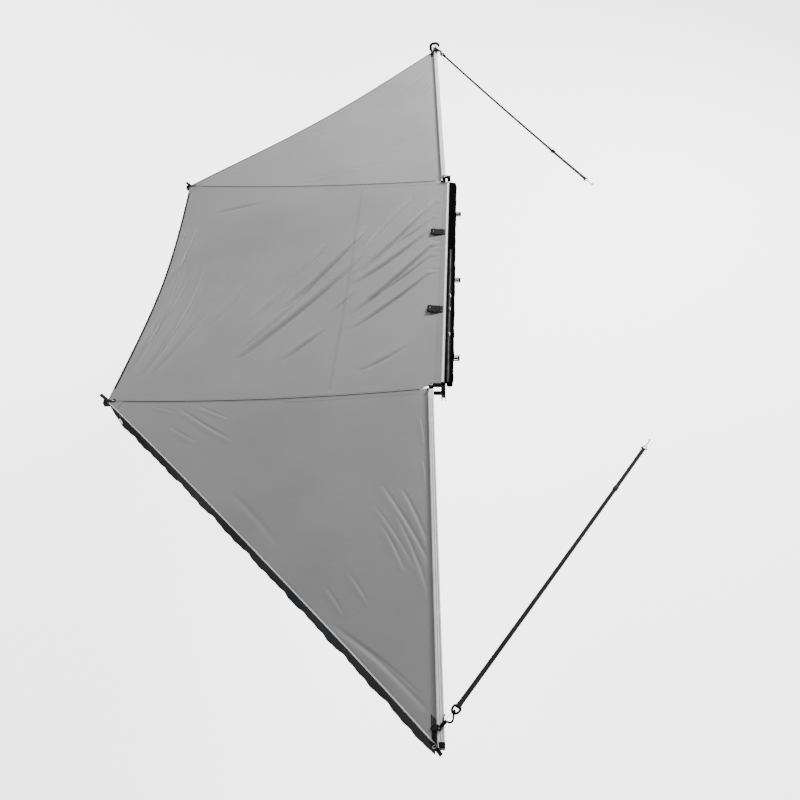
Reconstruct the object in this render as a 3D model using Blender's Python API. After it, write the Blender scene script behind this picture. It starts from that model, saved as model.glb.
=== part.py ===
"""Vehicle side awning with four swinging arms, modelled deployed.

Metres, +Z up, +Y the vehicle's forward direction, -X out from the vehicle.
The origin is the middle of the underside of the middle foot bracket.
"""
import math

import bmesh
import bpy
import numpy as np
from mathutils import Vector

# Driving sizes, in metres and degrees.
PIVOT_SPACING = 2.300
OUTER_ARM_LENGTH = 2.250
MID_FRONT_ARM_LENGTH = 2.172
MID_REAR_ARM_LENGTH = 2.145
ARM_WIDTH = 0.030
ARM_HEIGHT = 0.035
ARM_WALL = 0.002
ARM_CORNER = 0.002
ARM_START = 0.030
TOP_GROOVE_WIDTH = 0.0034
TOP_GROOVE_DEPTH = 0.0010
TOP_GROOVE_OFFSET = 0.006
LEVEL_GAP = 0.003
INNER_LANE = 0.039
LANE_SPACING = 0.039
FRONT_ARM_HEADING = 93.3
MID_FRONT_ARM_HEADING = 180.2
MID_REAR_ARM_HEADING = 183.0
REAR_ARM_HEADING = -87.0

BEAM_DEPTH = 0.024
BEAM_HEIGHT = 0.110
BEAM_TOP = 0.090
BEAM_WALL = 0.0025
BEAM_END_INSET = 0.017
T_SLOT_MOUTH = 0.009
T_SLOT_WIDTH = 0.017
T_SLOT_DEPTH = 0.008
T_SLOT_LIP = 0.0025
T_SLOT_HEIGHT = 0.030
KEDER_MOUTH = 0.0026
KEDER_CAVITY = 0.0046
KEDER_DEPTH = 0.006
KEDER_LIP = 0.0015
KEDER_GRIP = 0.0035
KEDER_SKIN = 0.0015

FOOT_LENGTH = 0.090
FOOT_WIDTH = 0.050
FOOT_THICKNESS = 0.006
FOOT_UPRIGHT = 0.055
FOOT_UPRIGHT_THICKNESS = 0.005
FOOT_FILLET = 0.004
FOOT_SLOT_WIDTH = 0.009
FOOT_SLOT_LENGTH = 0.034
FOOT_SLOT_SPACING = 0.026
FOOT_SLOT_MARGIN = 0.010
FOOT_SPACING = 0.800
GUSSET_THICKNESS = 0.004
GUSSET_REACH = 0.038
BOLT_HOLE_RADIUS = 0.0045

EAR_THICKNESS = 0.005
EAR_RADIUS = 0.016
EAR_RIB_HEIGHT = 0.012
POST_WALL = 0.005
POST_MARGIN = 0.002
PIN_RADIUS = 0.005
PIN_HEAD_RADIUS = 0.0095
PIN_HEAD_HEIGHT = 0.006
PIN_NUT_RADIUS = 0.0085
PIN_EDGE = 0.0015
SPACER_RADIUS = 0.010
KNUCKLE_RADIUS = 0.015
KNUCKLE_REACH = 0.075

CAP_LENGTH = 0.028
CAP_MARGIN = 0.001
CAP_PLUG = 0.014
KNOB_RADIUS = 0.009
KNOB_NECK = 0.0054
KNOB_HEIGHT = 0.018
KNOB_EDGE = 0.002
CAP_ROUNDING = 0.004
CHEEK_THICKNESS = 0.0023
LEG_PIVOT_INSET = 0.056
LEG_AXIS_HEIGHT = 0.015
LEG_RADIUS = 0.010
LEG_TUBE_WALL = 0.0013
LEG_TUBE_LENGTH = 1.020
LEG_COLLAR_RADIUS = 0.012
LEG_COLLAR_LENGTH = 0.045
LEG_ROD_WALL = 0.0016
LEG_ROD_SHOWING = 0.012
LEG_EYE_RADIUS = 0.009
LEG_EYE_THICKNESS = 0.014
LEG_EYE_CLEARANCE = 0.001
LEG_PIN_RADIUS = 0.003
LEG_FOOT_RADIUS = 0.012
LEG_FOOT_LENGTH = 0.016
LEG_FOOT_PLUG = 0.020

FABRIC = 0.0012
SEAM_BOW = 0.036
MIDDLE_HEM_BOW = 0.058
FRONT_HEM_BOW = 0.045
REAR_HEM_BOW = 0.025
MIDDLE_SAG = 0.045
WING_SAG = 0.040
VALANCE_DROP = 0.135
VALANCE_THICKNESS = 0.0014
VALANCE_WAVE = 0.010
VALANCE_WAVE_LENGTH = 0.300
VALANCE_END_GAP = 0.050
HEM_TUCK = 0.004
HEM_GAP = 0.0009
FLAT_OVER_ARM = 0.061
FLAT_AT_RAIL = 0.028
LEVEL_BEFORE_RAIL = 0.012
HINGE_CLEARANCE = 0.007
HINGE_TRANSITION = 0.045
SEAM_STEPS = 10
ACROSS_STEPS = 10
VALANCE_STEPS = 4

COVER_WIDTH = 0.050
COVER_HEIGHT = 0.027
COVER_END_GAP = 0.020
COVER_BULGE = 0.0025
COVER_GROOVE_DROP = 0.018
COVER_RINGS = 21

ROOF_STRAP_LENGTH = 0.110
ROOF_STRAP_WIDTH = 0.050
ROOF_BUCKLE_LENGTH = 0.030
ROOF_BUCKLE_WIDTH = 0.070
ROOF_BUCKLE_HEIGHT = 0.010
FRONT_ROOF_STRAP_Y = 0.463
REAR_ROOF_STRAP_Y = -0.406

WEBBING_WIDTH = 0.025
WEBBING_THICKNESS = 0.0018
TAB_THICKNESS = 0.0020
TAB_REACH = 0.048
RING_ROD = 0.004
RING_LENGTH = 0.042
HOOK_ROD = 0.0035
HOOK_EYE = 0.030
HOOK_BEND = 0.094
HOOK_CURL = 0.009
STRAP_INSET = 0.110
STRAP_HEIGHT = 0.0065
STRAP_SAG = 0.012
STITCHED_LENGTH = 0.070
BUCKLE_SHARE = 0.80
BUCKLE_LENGTH = 0.040
BUCKLE_WALL = 0.0025
FRONT_STRAP_END = (1.122, 1.160, 0.004)
REAR_STRAP_END = (1.332, -1.128, -0.468)

GAP = 0.0003
PLAY = 0.0003
JOIN_DEPTH = 0.001
ROUND_STEPS = 24
TUBE_STEPS = 16

# Sizes that follow from the driving ones.
HALF_SPACING = PIVOT_SPACING / 2
BEAM_HALF_LENGTH = HALF_SPACING - BEAM_END_INSET
BEAM_X = -(BEAM_DEPTH / 2 + GAP + FOOT_LENGTH / 2)
BEAM_FACE = BEAM_X - BEAM_DEPTH / 2
BEAM_BACK = BEAM_X + BEAM_DEPTH / 2
BEAM_BOTTOM = BEAM_TOP - BEAM_HEIGHT
OUTER_LANE = INNER_LANE + LANE_SPACING
KEDER_RAIL_Z = BEAM_TOP - KEDER_SKIN - KEDER_CAVITY / 2
ARM_KEDER_Z = KEDER_SKIN + KEDER_CAVITY / 2
UPPER_LEVEL = KEDER_RAIL_Z - ARM_KEDER_Z
LOWER_LEVEL = UPPER_LEVEL - LEVEL_GAP - ARM_HEIGHT
FABRIC_REST_Z = LOWER_LEVEL + ARM_HEIGHT + GAP + FABRIC / 2
CHANNEL_INNER = ARM_WIDTH - 2 * ARM_WALL
CHANNEL_ROOM = ARM_HEIGHT - ARM_WALL
PIN_HOLE_RADIUS = PIN_RADIUS + PLAY
LEG_PIN_HOLE_RADIUS = LEG_PIN_RADIUS + PLAY
POST_FRONT = BEAM_FACE - POST_MARGIN
POST_BACK = BEAM_BACK + POST_MARGIN
TOP_EAR_Z = UPPER_LEVEL + CHANNEL_ROOM
BOTTOM_EAR_Z = LOWER_LEVEL - EAR_THICKNESS
WING_START = KNUCKLE_REACH
RING_OFFSET = HOOK_BEND + HOOK_CURL - HOOK_ROD - RING_ROD - GAP


def clear_scene():
    for old in list(bpy.data.objects):
        bpy.data.objects.remove(old, do_unlink=True)


def make_material(name, colour, roughness, metallic):
    material = bpy.data.materials.new(name)
    material.use_nodes = True
    shader = material.node_tree.nodes["Principled BSDF"]
    shader.inputs["Base Color"].default_value = (*colour, 1.0)
    shader.inputs["Roughness"].default_value = roughness
    shader.inputs["Metallic"].default_value = metallic
    material.diffuse_color = (*colour, 1.0)
    return material


def make_object(name, mesh, material, place=(0, 0, 0), turn=(0, 0, 0), parent=None):
    """An object placed in metres and turned in degrees under its parent."""
    made = bpy.data.objects.new(name, mesh)
    made.location = place
    made.rotation_euler = [math.radians(angle) for angle in turn]
    made.parent = parent
    if material is not None:
        mesh.materials.append(material)
    bpy.context.scene.collection.objects.link(made)
    return made


def make_frame(name, place, turn=(0, 0, 0), parent=None):
    """An empty that carries the pieces of one moving body."""
    frame = bpy.data.objects.new(name, None)
    frame.location = place
    frame.rotation_euler = [math.radians(angle) for angle in turn]
    frame.parent = parent
    frame.empty_display_size = 0.05
    bpy.context.scene.collection.objects.link(frame)
    return frame


def finish_mesh(name, shape, smooth_angle=None):
    bmesh.ops.remove_doubles(shape, verts=shape.verts, dist=1e-6)
    bmesh.ops.recalc_face_normals(shape, faces=shape.faces)
    mesh = bpy.data.meshes.new(name)
    shape.to_mesh(mesh)
    shape.free()
    if smooth_angle is not None:
        mesh.shade_smooth()
        mesh.set_sharp_from_angle(angle=math.radians(smooth_angle))
    return mesh


def arc(centre_x, centre_y, radius, start, end, steps):
    """Points on a circle between two angles in degrees, both ends included."""
    angles = np.radians(np.linspace(start, end, steps + 1))
    return [(centre_x + radius * math.cos(a), centre_y + radius * math.sin(a)) for a in angles]


def circle(centre_x, centre_y, radius, steps=ROUND_STEPS):
    return arc(centre_x, centre_y, radius, 0, 360, steps)[:-1]


def prism(name, loops, low, high, smooth_angle=None):
    """The outline in loops[0], less the holes in the other loops, from low to high in Z."""
    curve = bpy.data.curves.new(name, "CURVE")
    curve.dimensions = "2D"
    curve.fill_mode = "BOTH"
    curve.extrude = (high - low) / 2
    for loop in loops:
        spline = curve.splines.new("POLY")
        spline.points.add(len(loop) - 1)
        for point, (x, y) in zip(spline.points, loop):
            point.co = (x, y, 0, 1)
        spline.use_cyclic_u = True
    guide = bpy.data.objects.new(name, curve)
    flat = bpy.data.meshes.new_from_object(guide)
    bpy.data.objects.remove(guide)
    bpy.data.curves.remove(curve)
    shape = bmesh.new()
    shape.from_mesh(flat)
    bpy.data.meshes.remove(flat)
    bmesh.ops.translate(shape, verts=shape.verts, vec=(0, 0, (low + high) / 2))
    return finish_mesh(name, shape, smooth_angle)


def turned(name, profile, steps=ROUND_STEPS, closed=False):
    """A round piece about Z from (radius, height) points; closed joins the last to the first."""
    shape = bmesh.new()
    points = [shape.verts.new((radius, 0, height)) for radius, height in profile]
    pairs = list(zip(points, points[1:]))
    if closed:
        pairs.append((points[-1], points[0]))
    edges = [shape.edges.new(pair) for pair in pairs]
    full = 2 * math.pi
    parts = points + edges
    bmesh.ops.spin(shape, geom=parts, axis=(0, 0, 1), angle=full, steps=steps, use_merge=True)
    bmesh.ops.dissolve_degenerate(shape, edges=shape.edges, dist=1e-7)
    return finish_mesh(name, shape, 35)


def block(name, low, high):
    """A box between two corners."""
    shape = bmesh.new()
    bmesh.ops.create_cube(shape, size=1)
    size = Vector(high) - Vector(low)
    bmesh.ops.scale(shape, verts=shape.verts, vec=size)
    bmesh.ops.translate(shape, verts=shape.verts, vec=(Vector(high) + Vector(low)) / 2)
    return finish_mesh(name, shape)


def rings_solid(name, rings, smooth_angle=40):
    """A solid through equal rings of points, closed by a flat face at each end."""
    shape = bmesh.new()
    rows = [[shape.verts.new(point) for point in ring] for ring in rings]
    for row, following in zip(rows, rows[1:]):
        for i in range(len(row)):
            j = (i + 1) % len(row)
            shape.faces.new((row[i], row[j], following[j], following[i]))
    shape.faces.new(rows[0])
    shape.faces.new(rows[-1])
    return finish_mesh(name, shape, smooth_angle)


def sheet_object(name, rows, thickness, material):
    """A thin closed sheet of equal thickness on both sides of a grid of points."""
    shape = bmesh.new()
    grid = [[shape.verts.new(point) for point in row] for row in rows]
    for row, following in zip(grid, grid[1:]):
        for i in range(len(row) - 1):
            shape.faces.new((row[i], row[i + 1], following[i + 1], following[i]))
    sheet = make_object(name, finish_mesh(name, shape, 60), material)
    solidify = sheet.modifiers.new("thickness", "SOLIDIFY")
    solidify.thickness = thickness
    solidify.offset = 0
    return sheet


def rod_object(name, path, radius, material, closed=False, sides=1, parent=None):
    """A round bar along a path of points."""
    curve = bpy.data.curves.new(name, "CURVE")
    curve.dimensions = "3D"
    curve.bevel_depth = radius
    curve.bevel_resolution = sides
    curve.use_fill_caps = not closed
    spline = curve.splines.new("POLY")
    spline.points.add(len(path) - 1)
    for point, place in zip(spline.points, path):
        point.co = (*place, 1)
    spline.use_cyclic_u = closed
    spline.use_smooth = True
    return make_object(name, curve, material, parent=parent)


def helper(name, mesh, place=(0, 0, 0), turn=(0, 0, 0), parent=None):
    """A shape that only cuts or joins another one."""
    made = make_object(name, mesh, None, place, turn, parent)
    made.hide_render = True
    made.display_type = "WIRE"
    return made


def boolean(target, tool, operation):
    step = target.modifiers.new(tool.name, "BOOLEAN")
    step.operation = operation
    step.solver = "EXACT"
    step.object = tool


def bevel(target, width, segments=2, angle=40):
    edge = target.modifiers.new("rounding", "BEVEL")
    edge.width = width
    edge.segments = segments
    edge.limit_method = "ANGLE"
    edge.angle_limit = math.radians(angle)


def smooth_step(value):
    value = min(max(value, 0.0), 1.0)
    return value * value * (3 - 2 * value)


class Arm:
    """Where one arm stands: its pivot, its heading and its level."""

    def __init__(self, name, end, lane, heading, level, length, fabric_side):
        self.name = name
        self.pin = Vector((BEAM_X - lane, end * HALF_SPACING, 0))
        self.heading = heading
        self.level = level
        self.length = length
        self.fabric_side = fabric_side
        angle = math.radians(heading)
        self.along = Vector((math.cos(angle), math.sin(angle), 0))
        self.left = Vector((-math.sin(angle), math.cos(angle), 0))

    def at(self, along, left, up):
        """A world point from distances along, left of and above the arm's lower face."""
        return self.pin + self.along * along + self.left * left + Vector((0, 0, self.level + up))


FRONT_ARM = Arm("front", 1, INNER_LANE, FRONT_ARM_HEADING, UPPER_LEVEL, OUTER_ARM_LENGTH, 1)
MID_FRONT_ARM = Arm("mid_front", 1, INNER_LANE, MID_FRONT_ARM_HEADING, LOWER_LEVEL, MID_FRONT_ARM_LENGTH, 0)
MID_REAR_ARM = Arm("mid_rear", -1, OUTER_LANE, MID_REAR_ARM_HEADING, LOWER_LEVEL, MID_REAR_ARM_LENGTH, 0)
REAR_ARM = Arm("rear", -1, OUTER_LANE, REAR_ARM_HEADING, UPPER_LEVEL, OUTER_ARM_LENGTH, -1)


def groove_outline(edge_x, inward, centre_z, depth):
    """The corners of a keder groove cut into an edge, from its lower lip to its upper lip."""
    mouth = KEDER_MOUTH / 2
    cavity = KEDER_CAVITY / 2
    lip_x = edge_x + inward * KEDER_LIP
    back_x = edge_x + inward * depth
    return [
        (edge_x, centre_z - mouth),
        (lip_x, centre_z - mouth),
        (lip_x, centre_z - cavity),
        (back_x, centre_z - cavity),
        (back_x, centre_z + cavity),
        (lip_x, centre_z + cavity),
        (lip_x, centre_z + mouth),
        (edge_x, centre_z + mouth),
    ]


def channel_outline(fabric_side):
    """The arm's section seen from its tip: an inverted U with a keder rail on the fabric's side."""
    half = ARM_WIDTH / 2
    inner = CHANNEL_INNER / 2
    top = ARM_HEIGHT
    groove = (TOP_GROOVE_OFFSET + TOP_GROOVE_WIDTH / 2, TOP_GROOVE_OFFSET - TOP_GROOVE_WIDTH / 2)
    groove_floor = top - TOP_GROOVE_DEPTH
    rail_top = 2 * (ARM_KEDER_Z - KEDER_CAVITY / 2) + KEDER_CAVITY
    outline = [(half, 0)]
    if fabric_side:
        outline.append((half + KEDER_DEPTH, 0))
        outline += groove_outline(half + KEDER_DEPTH, -1, ARM_KEDER_Z, KEDER_DEPTH)
        outline += [(half + KEDER_DEPTH, rail_top), (half, rail_top)]
    outline += arc(half - ARM_CORNER, top - ARM_CORNER, ARM_CORNER, 0, 90, 3)
    for far, near in (groove, (-groove[1], -groove[0])):
        outline += [(far, top), (far, groove_floor), (near, groove_floor), (near, top)]
    outline += arc(-half + ARM_CORNER, top - ARM_CORNER, ARM_CORNER, 90, 180, 3)
    outline += [(-half, 0), (-inner, 0), (-inner, CHANNEL_ROOM), (inner, CHANNEL_ROOM), (inner, 0)]
    if fabric_side < 0:
        outline = [(-x, y) for x, y in outline]
    return outline


def beam_outline():
    """The beam's section: outboard face, T slot for the feet and a keder groove on each side."""
    face = -BEAM_DEPTH / 2
    back = BEAM_DEPTH / 2
    mouth = T_SLOT_MOUTH / 2
    wide = T_SLOT_WIDTH / 2
    lip = back - T_SLOT_LIP
    floor = back - T_SLOT_DEPTH
    cover_z = BEAM_TOP - COVER_GROOVE_DROP
    outline = [(face, BEAM_BOTTOM), (back, BEAM_BOTTOM)]
    outline += [(back, T_SLOT_HEIGHT - mouth), (lip, T_SLOT_HEIGHT - mouth)]
    outline += [(lip, T_SLOT_HEIGHT - wide), (floor, T_SLOT_HEIGHT - wide)]
    outline += [(floor, T_SLOT_HEIGHT + wide), (lip, T_SLOT_HEIGHT + wide)]
    outline += [(lip, T_SLOT_HEIGHT + mouth), (back, T_SLOT_HEIGHT + mouth)]
    outline += groove_outline(back, -1, cover_z, KEDER_DEPTH)
    outline += arc(back - ARM_CORNER, BEAM_TOP - ARM_CORNER, ARM_CORNER, 0, 90, 3)
    outline += [(face, BEAM_TOP)]
    outline += groove_outline(face, 1, KEDER_RAIL_Z, KEDER_DEPTH)[::-1]
    return outline


def beam_chambers():
    """The hollow chambers that run through the beam: below, behind and above the T slot."""
    left = -BEAM_DEPTH / 2 + BEAM_WALL
    right = BEAM_DEPTH / 2 - BEAM_WALL
    slot_low = T_SLOT_HEIGHT - T_SLOT_WIDTH / 2
    slot_high = T_SLOT_HEIGHT + T_SLOT_WIDTH / 2
    slot_back = BEAM_DEPTH / 2 - T_SLOT_DEPTH - BEAM_WALL
    groove_low = BEAM_TOP - COVER_GROOVE_DROP - KEDER_CAVITY / 2
    spans = [
        (right, BEAM_BOTTOM + BEAM_WALL, slot_low - BEAM_WALL),
        (slot_back, slot_low, slot_high),
        (right, slot_high + BEAM_WALL, groove_low - BEAM_WALL),
    ]
    return [[(left, low), (far, low), (far, high), (left, high)] for far, low, high in spans]


def build_beam(material):
    """The long extrusion that carries everything."""
    mesh = prism("beam_rail", [beam_outline(), *beam_chambers()], -BEAM_HALF_LENGTH, BEAM_HALF_LENGTH)
    make_object("beam_rail", mesh, material, place=(BEAM_X, 0, 0), turn=(90, 0, 0))


def ear_outline(end, pin):
    """Plan of a hinge ear: round about the pin, square where it joins the post."""
    near = end * (BEAM_HALF_LENGTH + GAP)
    far = end * (HALF_SPACING + EAR_RADIUS)
    round_end = arc(pin.x, pin.y, EAR_RADIUS, 90 * end, (90 + 180) * end, 12)
    return [(POST_BACK, near), (POST_BACK, far), *round_end, (POST_FRONT, near)]


def post_outline(end):
    """Plan of the post that closes the beam's end: a U that opens away from the beam."""
    near = end * (BEAM_HALF_LENGTH + GAP)
    floor = near + end * POST_WALL
    far = end * (HALF_SPACING + EAR_RADIUS)
    return [
        (POST_BACK, near),
        (POST_BACK, far),
        (POST_BACK - POST_WALL, far),
        (POST_BACK - POST_WALL, floor),
        (POST_FRONT + POST_WALL, floor),
        (POST_FRONT + POST_WALL, far),
        (POST_FRONT, far),
        (POST_FRONT, near),
    ]


def build_end_bracket(name, end, arm, material):
    """The hinge bracket on one end of the beam: a post with an ear below and above the arms."""
    post_top = TOP_EAR_Z + EAR_THICKNESS
    post = prism(name, [post_outline(end)], BEAM_BOTTOM, post_top + EAR_RIB_HEIGHT)
    bracket = make_object(name, post, material)
    hole = circle(arm.pin.x, arm.pin.y, PIN_HOLE_RADIUS)
    for level, label in ((BOTTOM_EAR_Z, "lower"), (TOP_EAR_Z, "upper")):
        loops = [ear_outline(end, arm.pin), hole]
        ear = helper(f"{name}_{label}_ear", prism(label, loops, level, level + EAR_THICKNESS))
        boolean(bracket, ear, "UNION")
    reach = arm.pin.x + PIN_HEAD_RADIUS + 3 * GAP
    sink = JOIN_DEPTH
    rib = [
        (POST_FRONT + sink, -sink),
        (reach, -sink),
        (POST_FRONT, EAR_RIB_HEIGHT),
        (POST_FRONT + sink, EAR_RIB_HEIGHT),
    ]
    half = GUSSET_THICKNESS / 2
    upper = helper(
        f"{name}_upper_rib", prism("rib", [rib], -half, half), (0, arm.pin.y, post_top), (90, 0, 0)
    )
    lower_rib = [(x, -y) for x, y in rib]
    lower = helper(
        f"{name}_lower_rib", prism("rib", [lower_rib], -half, half), (0, arm.pin.y, BOTTOM_EAR_Z), (90, 0, 0)
    )
    boolean(bracket, upper, "UNION")
    boolean(bracket, lower, "UNION")


def build_pivot(name, arm, steel):
    """The bolt that both arms of one end turn on, and the spacer between them."""
    top = TOP_EAR_Z + EAR_THICKNESS + GAP
    bottom = BOTTOM_EAR_Z - GAP
    head = top + PIN_HEAD_HEIGHT
    nut = bottom - PIN_HEAD_HEIGHT
    edge = PIN_EDGE
    profile = [
        (0, nut - edge),
        (PIN_RADIUS, nut - edge),
        (PIN_RADIUS, nut),
        (PIN_NUT_RADIUS, nut),
        (PIN_NUT_RADIUS, bottom),
        (PIN_RADIUS, bottom),
        (PIN_RADIUS, top),
        (PIN_HEAD_RADIUS, top),
        (PIN_HEAD_RADIUS, head - edge),
        (PIN_HEAD_RADIUS - 2 * edge, head),
        (0, head),
    ]
    make_object(f"{name}_pivot_bolt", turned("bolt", profile, TUBE_STEPS), steel, place=arm.pin)
    low = LOWER_LEVEL + CHANNEL_ROOM
    high = UPPER_LEVEL
    ring = [(PIN_HOLE_RADIUS, low), (SPACER_RADIUS, low), (SPACER_RADIUS, high), (PIN_HOLE_RADIUS, high)]
    spacer = turned("spacer", ring, TUBE_STEPS, closed=True)
    make_object(f"{name}_pivot_spacer", spacer, steel, place=arm.pin)


def build_foot_bracket(name, y, material):
    """One L bracket: an upright on the beam's T slot and a slotted foot for the roof bar."""
    back = FOOT_UPRIGHT_THICKNESS
    floor = FOOT_THICKNESS
    outline = [(0, 0), (FOOT_LENGTH, 0), (FOOT_LENGTH, floor)]
    outline += arc(back + FOOT_FILLET, floor + FOOT_FILLET, FOOT_FILLET, 270, 180, 3)
    outline += [(back, FOOT_UPRIGHT), (0, FOOT_UPRIGHT)]
    half = FOOT_WIDTH / 2
    corner = (BEAM_BACK + GAP, y, 0)
    foot = make_object(name, prism(name, [outline], -half, half), material, place=corner, turn=(90, 0, 0))
    sink = JOIN_DEPTH
    web = [
        (back - sink, floor - sink),
        (back + GUSSET_REACH, floor - sink),
        (back + GUSSET_REACH, floor),
        (back, floor + GUSSET_REACH),
        (back - sink, floor + GUSSET_REACH),
    ]
    for side in (-1, 1):
        rib_y = y + side * (half - GUSSET_THICKNESS / 2)
        rib = prism("web", [web], -GUSSET_THICKNESS / 2, GUSSET_THICKNESS / 2)
        boolean(foot, helper(f"{name}_web_{side}", rib, (corner[0], rib_y, 0), (90, 0, 0)), "UNION")
        slot_radius = FOOT_SLOT_WIDTH / 2
        reach = FOOT_SLOT_LENGTH / 2 - slot_radius
        slot = arc(reach, 0, slot_radius, -90, 90, 8) + arc(-reach, 0, slot_radius, 90, 270, 8)
        slot_y = y + side * FOOT_SLOT_SPACING / 2
        slot_x = corner[0] + FOOT_LENGTH - FOOT_SLOT_LENGTH / 2 - FOOT_SLOT_MARGIN
        cutter = prism("slot", [slot], -floor, 2 * floor)
        boolean(foot, helper(f"{name}_slot_{side}", cutter, (slot_x, slot_y, 0)), "DIFFERENCE")
        bolt = BOLT_HOLE_RADIUS
        hole = turned("hole", [(0, -back), (bolt, -back), (bolt, 3 * back), (0, 3 * back)], TUBE_STEPS)
        place = (corner[0], slot_y, T_SLOT_HEIGHT)
        boolean(foot, helper(f"{name}_hole_{side}", hole, place, (0, 90, 0)), "DIFFERENCE")


def build_cover(material):
    """The travel cover, rolled up along the beam's back."""
    centre_x = BEAM_BACK + 2 * GAP + COVER_WIDTH / 2 + COVER_BULGE
    centre_z = FOOT_UPRIGHT + GAP + COVER_HEIGHT / 2 + 2 * COVER_BULGE
    half_length = BEAM_HALF_LENGTH - COVER_END_GAP
    rings = []
    for share in np.linspace(-1, 1, COVER_RINGS):
        y = share * half_length
        taper = 1 - 0.35 * smooth_step((abs(share) - 0.96) / 0.04)
        swell = COVER_BULGE * math.cos(6 * math.pi * share)
        ring = []
        for angle in np.linspace(0, 2 * math.pi, TUBE_STEPS, endpoint=False):
            across = math.copysign(abs(math.cos(angle)) ** 0.7, math.cos(angle))
            up = math.copysign(abs(math.sin(angle)) ** 0.8, math.sin(angle))
            half_width = taper * (COVER_WIDTH / 2 + swell)
            half_height = taper * (COVER_HEIGHT / 2 + 0.5 * swell)
            ring.append((centre_x + half_width * across, y, centre_z + half_height * up))
        rings.append(ring)
    make_object("travel_cover", rings_solid("travel_cover", rings), material)


def build_channel(arm, frame, material):
    """The arm's aluminium channel, open below for the stowed leg."""
    end = arm.length - CAP_LENGTH
    mesh = prism(f"{arm.name}_arm_channel", [channel_outline(arm.fabric_side)], ARM_START, end)
    make_object(f"{arm.name}_arm_channel", mesh, material, turn=(90, 0, 90), parent=frame)


def build_knuckle(arm, frame, material):
    """The hinge block in the arm's near end, round about the pivot bolt."""
    neck = ARM_START - GAP
    half = CHANNEL_INNER / 2 - GAP
    outline = arc(0, 0, KNUCKLE_RADIUS, 90, 270, 12)
    outline += [(neck, -KNUCKLE_RADIUS), (neck, -half), (KNUCKLE_REACH, -half)]
    outline += [(KNUCKLE_REACH, half), (neck, half), (neck, KNUCKLE_RADIUS)]
    bore = circle(0, 0, PIN_HOLE_RADIUS)
    mesh = prism(f"{arm.name}_arm_knuckle", [outline, bore], GAP, CHANNEL_ROOM - GAP, 35)
    make_object(f"{arm.name}_arm_knuckle", mesh, material, parent=frame)


def cap_plan(leg_x):
    """Plan of the cap inside the channel, from the cap's near face: a plug with two cheeks."""
    half = CHANNEL_INNER / 2 - GAP
    inner = half - CHEEK_THICKNESS
    cheek_end = leg_x - 3 * LEG_PIN_RADIUS
    root = CAP_LENGTH / 3
    return [
        (cheek_end, -half),
        (root, -half),
        (root, half),
        (cheek_end, half),
        (cheek_end, inner),
        (-CAP_PLUG, inner),
        (-CAP_PLUG, -inner),
        (cheek_end, -inner),
    ]


def build_cap(arm, frame, material):
    """The tip cap: a rounded block outside, and inside the channel the cheeks of the leg's hinge."""
    name = f"{arm.name}_arm_cap"
    leg_x = CAP_LENGTH - LEG_PIVOT_INSET
    grow = CAP_MARGIN if arm.fabric_side else 0
    half = ARM_WIDTH / 2 + grow
    high = ARM_HEIGHT + grow
    body = block(name, (GAP, -half, -grow), (CAP_LENGTH, half, high))
    shell = make_object(name, body, material, (arm.length - CAP_LENGTH, 0, 0), parent=frame)
    bevel(shell, CAP_ROUNDING)
    plug = prism("plug", [cap_plan(leg_x)], GAP, CHANNEL_ROOM - GAP)
    boolean(shell, helper(f"{name}_plug", plug, parent=shell), "UNION")
    reach = ARM_WIDTH
    side = LEG_PIN_HOLE_RADIUS
    drill = turned("drill", [(0, -reach), (side, -reach), (side, reach), (0, reach)], TUBE_STEPS)
    place = (leg_x, 0, LEG_AXIS_HEIGHT)
    boolean(shell, helper(f"{name}_drill", drill, place, (90, 0, 0), shell), "DIFFERENCE")
    if arm.fabric_side:
        knob_top = high + KNOB_HEIGHT
        knob = [
            (0, high - ARM_CORNER),
            (KNOB_NECK, high - ARM_CORNER),
            (KNOB_NECK, high + KNOB_HEIGHT / 2),
            (KNOB_RADIUS, high + KNOB_HEIGHT / 2 + KNOB_EDGE),
            (KNOB_RADIUS, knob_top - KNOB_EDGE),
            (KNOB_RADIUS - KNOB_EDGE, knob_top),
            (0, knob_top),
        ]
        knob_mesh = turned("knob", knob, TUBE_STEPS)
        boolean(shell, helper(f"{name}_knob", knob_mesh, (CAP_LENGTH / 2, 0, 0), parent=shell), "UNION")


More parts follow.
